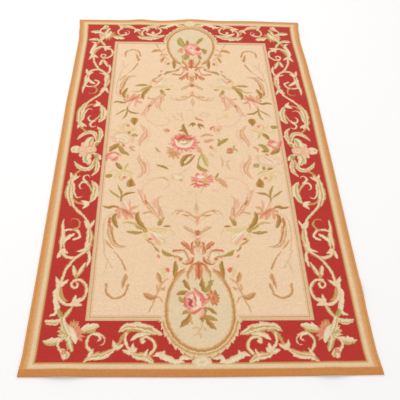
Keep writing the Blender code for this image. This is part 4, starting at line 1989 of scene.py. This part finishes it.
        stitches = np.zeros_like(points)
        for axis in (0, 1):
            stitches[:, axis] = self.cells_at(points[:, axis], axis) * self.loom.stitches_a_cell
        place = mesh.attributes.new("stitch", "FLOAT_VECTOR", "POINT")
        place.data.foreach_set("vector", stitches.ravel())
        mesh.materials.append(wool)

    def cells_at(self, places: np.ndarray, axis: int) -> np.ndarray:
        """Turns places along an axis, in metres, to places counted in the loom's cells."""
        edges = self.loom.stations(axis)
        return np.interp(places, edges, np.arange(len(edges)))

    def lay_down(self) -> None:
        """Gives the flat panel its wandering edges and ripples, and smooths its shading."""
        self.move_points(self.shape.settle(self.points()))
        bpy.ops.object.shade_smooth_by_angle(angle=math.radians(35))


@dataclass
class Rug:
    """The whole rug: its field and its border, worked from one chart."""

    loom: Loom
    pieces: list[bpy.types.Object] = field(default_factory=list, init=False)

    def build(self) -> None:
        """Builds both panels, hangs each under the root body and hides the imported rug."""
        dyes = Pattern(self.loom).chart()
        wool = NeedlepointWool().material()
        shape = RestingShape()
        for name, is_field in (("rug_field", True), ("rug_border", False)):
            piece = ClothPanel(name, self.loom, shape, is_field).build(dyes, wool)
            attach(piece, "root")
            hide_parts("rug")
            self.pieces.append(piece)

    def report(self) -> None:
        """Logs each panel's size."""
        for piece in self.pieces:
            LOG.info("%s: %d faces", piece.name, len(piece.data.polygons))


@dataclass(frozen=True)
class PaleFloor:
    """A plain floor, matt and nearly white, that the rug lies on."""

    name: str = "paint, pale and matt"
    size: float = 14.0
    paint: str = "#FEFDFC"

    def build(self) -> bpy.types.Object:
        """Lays the floor at the rug's underside.

        Returns:
            The floor.
        """
        bpy.ops.object.select_all(action="DESELECT")
        bpy.ops.mesh.primitive_plane_add(size=self.size)
        floor = bpy.context.object
        floor.name = "floor"
        paint = bpy.data.materials.new(self.name)
        paint.use_nodes = True
        shader = paint.node_tree.nodes["Principled BSDF"]
        shader.inputs["Base Color"].default_value = (*to_linear(self.paint), 1.0)
        shader.inputs["Roughness"].default_value = 0.9
        floor.data.materials.append(paint)
        floor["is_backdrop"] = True
        return floor


@dataclass(frozen=True)
class Studio:
    """Soft light from all round and above, and the camera of the photo."""

    sky: str = "#FFFFFF"
    sky_strength: float = 0.83
    lamp_at: tuple[float, float, float] = (-0.9, 1.3, 2.6)
    lamp_size: float = 2.4
    lamp_power: float = 24.0
    camera_at: tuple[float, float, float] = (-0.0881, -1.2744, 1.3516)
    camera_turn: tuple[float, float, float] = (38.5193, -1.6951, -1.0506)
    lens: float = 49.54
    crop_shift: tuple[float, float] = (0.0322, -0.0014)

    def light(self) -> None:
        """Sets the sky and hangs one large soft lamp over the far end."""
        world = bpy.data.worlds.new("studio")
        world.use_nodes = True
        sky = world.node_tree.nodes["Background"]
        sky.inputs["Color"].default_value = (*to_linear(self.sky), 1.0)
        sky.inputs["Strength"].default_value = self.sky_strength
        bpy.context.scene.world = world
        bpy.ops.object.light_add(type="AREA", location=self.lamp_at)
        lamp = bpy.context.object
        lamp.name = "soft_lamp"
        lamp.data.size = self.lamp_size
        lamp.data.energy = self.lamp_power
        aim = math.atan2(math.hypot(self.lamp_at[0], self.lamp_at[1]), self.lamp_at[2])
        lamp.rotation_euler = (0.0, aim, math.atan2(self.lamp_at[1], self.lamp_at[0]))
        lamp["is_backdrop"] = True

    def photograph(self) -> None:
        """Places the camera where the photo was taken from."""
        turn = tuple(math.radians(angle) for angle in self.camera_turn)
        bpy.ops.object.camera_add(location=self.camera_at, rotation=turn)
        camera = bpy.context.object
        camera.name = "camera"
        camera.data.lens = self.lens
        camera.data.sensor_width = 36.0
        camera.data.shift_x, camera.data.shift_y = self.crop_shift
        bpy.context.scene.camera = camera
        bpy.context.scene.view_settings.view_transform = "Standard"


def corners(box: Sequence[Sequence[float]]) -> list[list[float]]:
    """Turns a box's lowest and highest corner to plain lists of numbers."""
    return [[float(part) for part in corner] for corner in box]


def main() -> None:
    """Builds the floor, the rug and the studio in turn."""
    logging.basicConfig(level=logging.INFO, format="%(name)s: %(message)s")
    PaleFloor().build()
    rug = Rug(Loom())
    rug.build()
    rug.report()
    studio = Studio()
    studio.light()
    studio.photograph()
    sizes = {"cad": corners(CAD_BOX), "visual": corners(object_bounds())}
    LOG.info("sizes: %s", sizes)


if __name__ == "__main__":
    main()
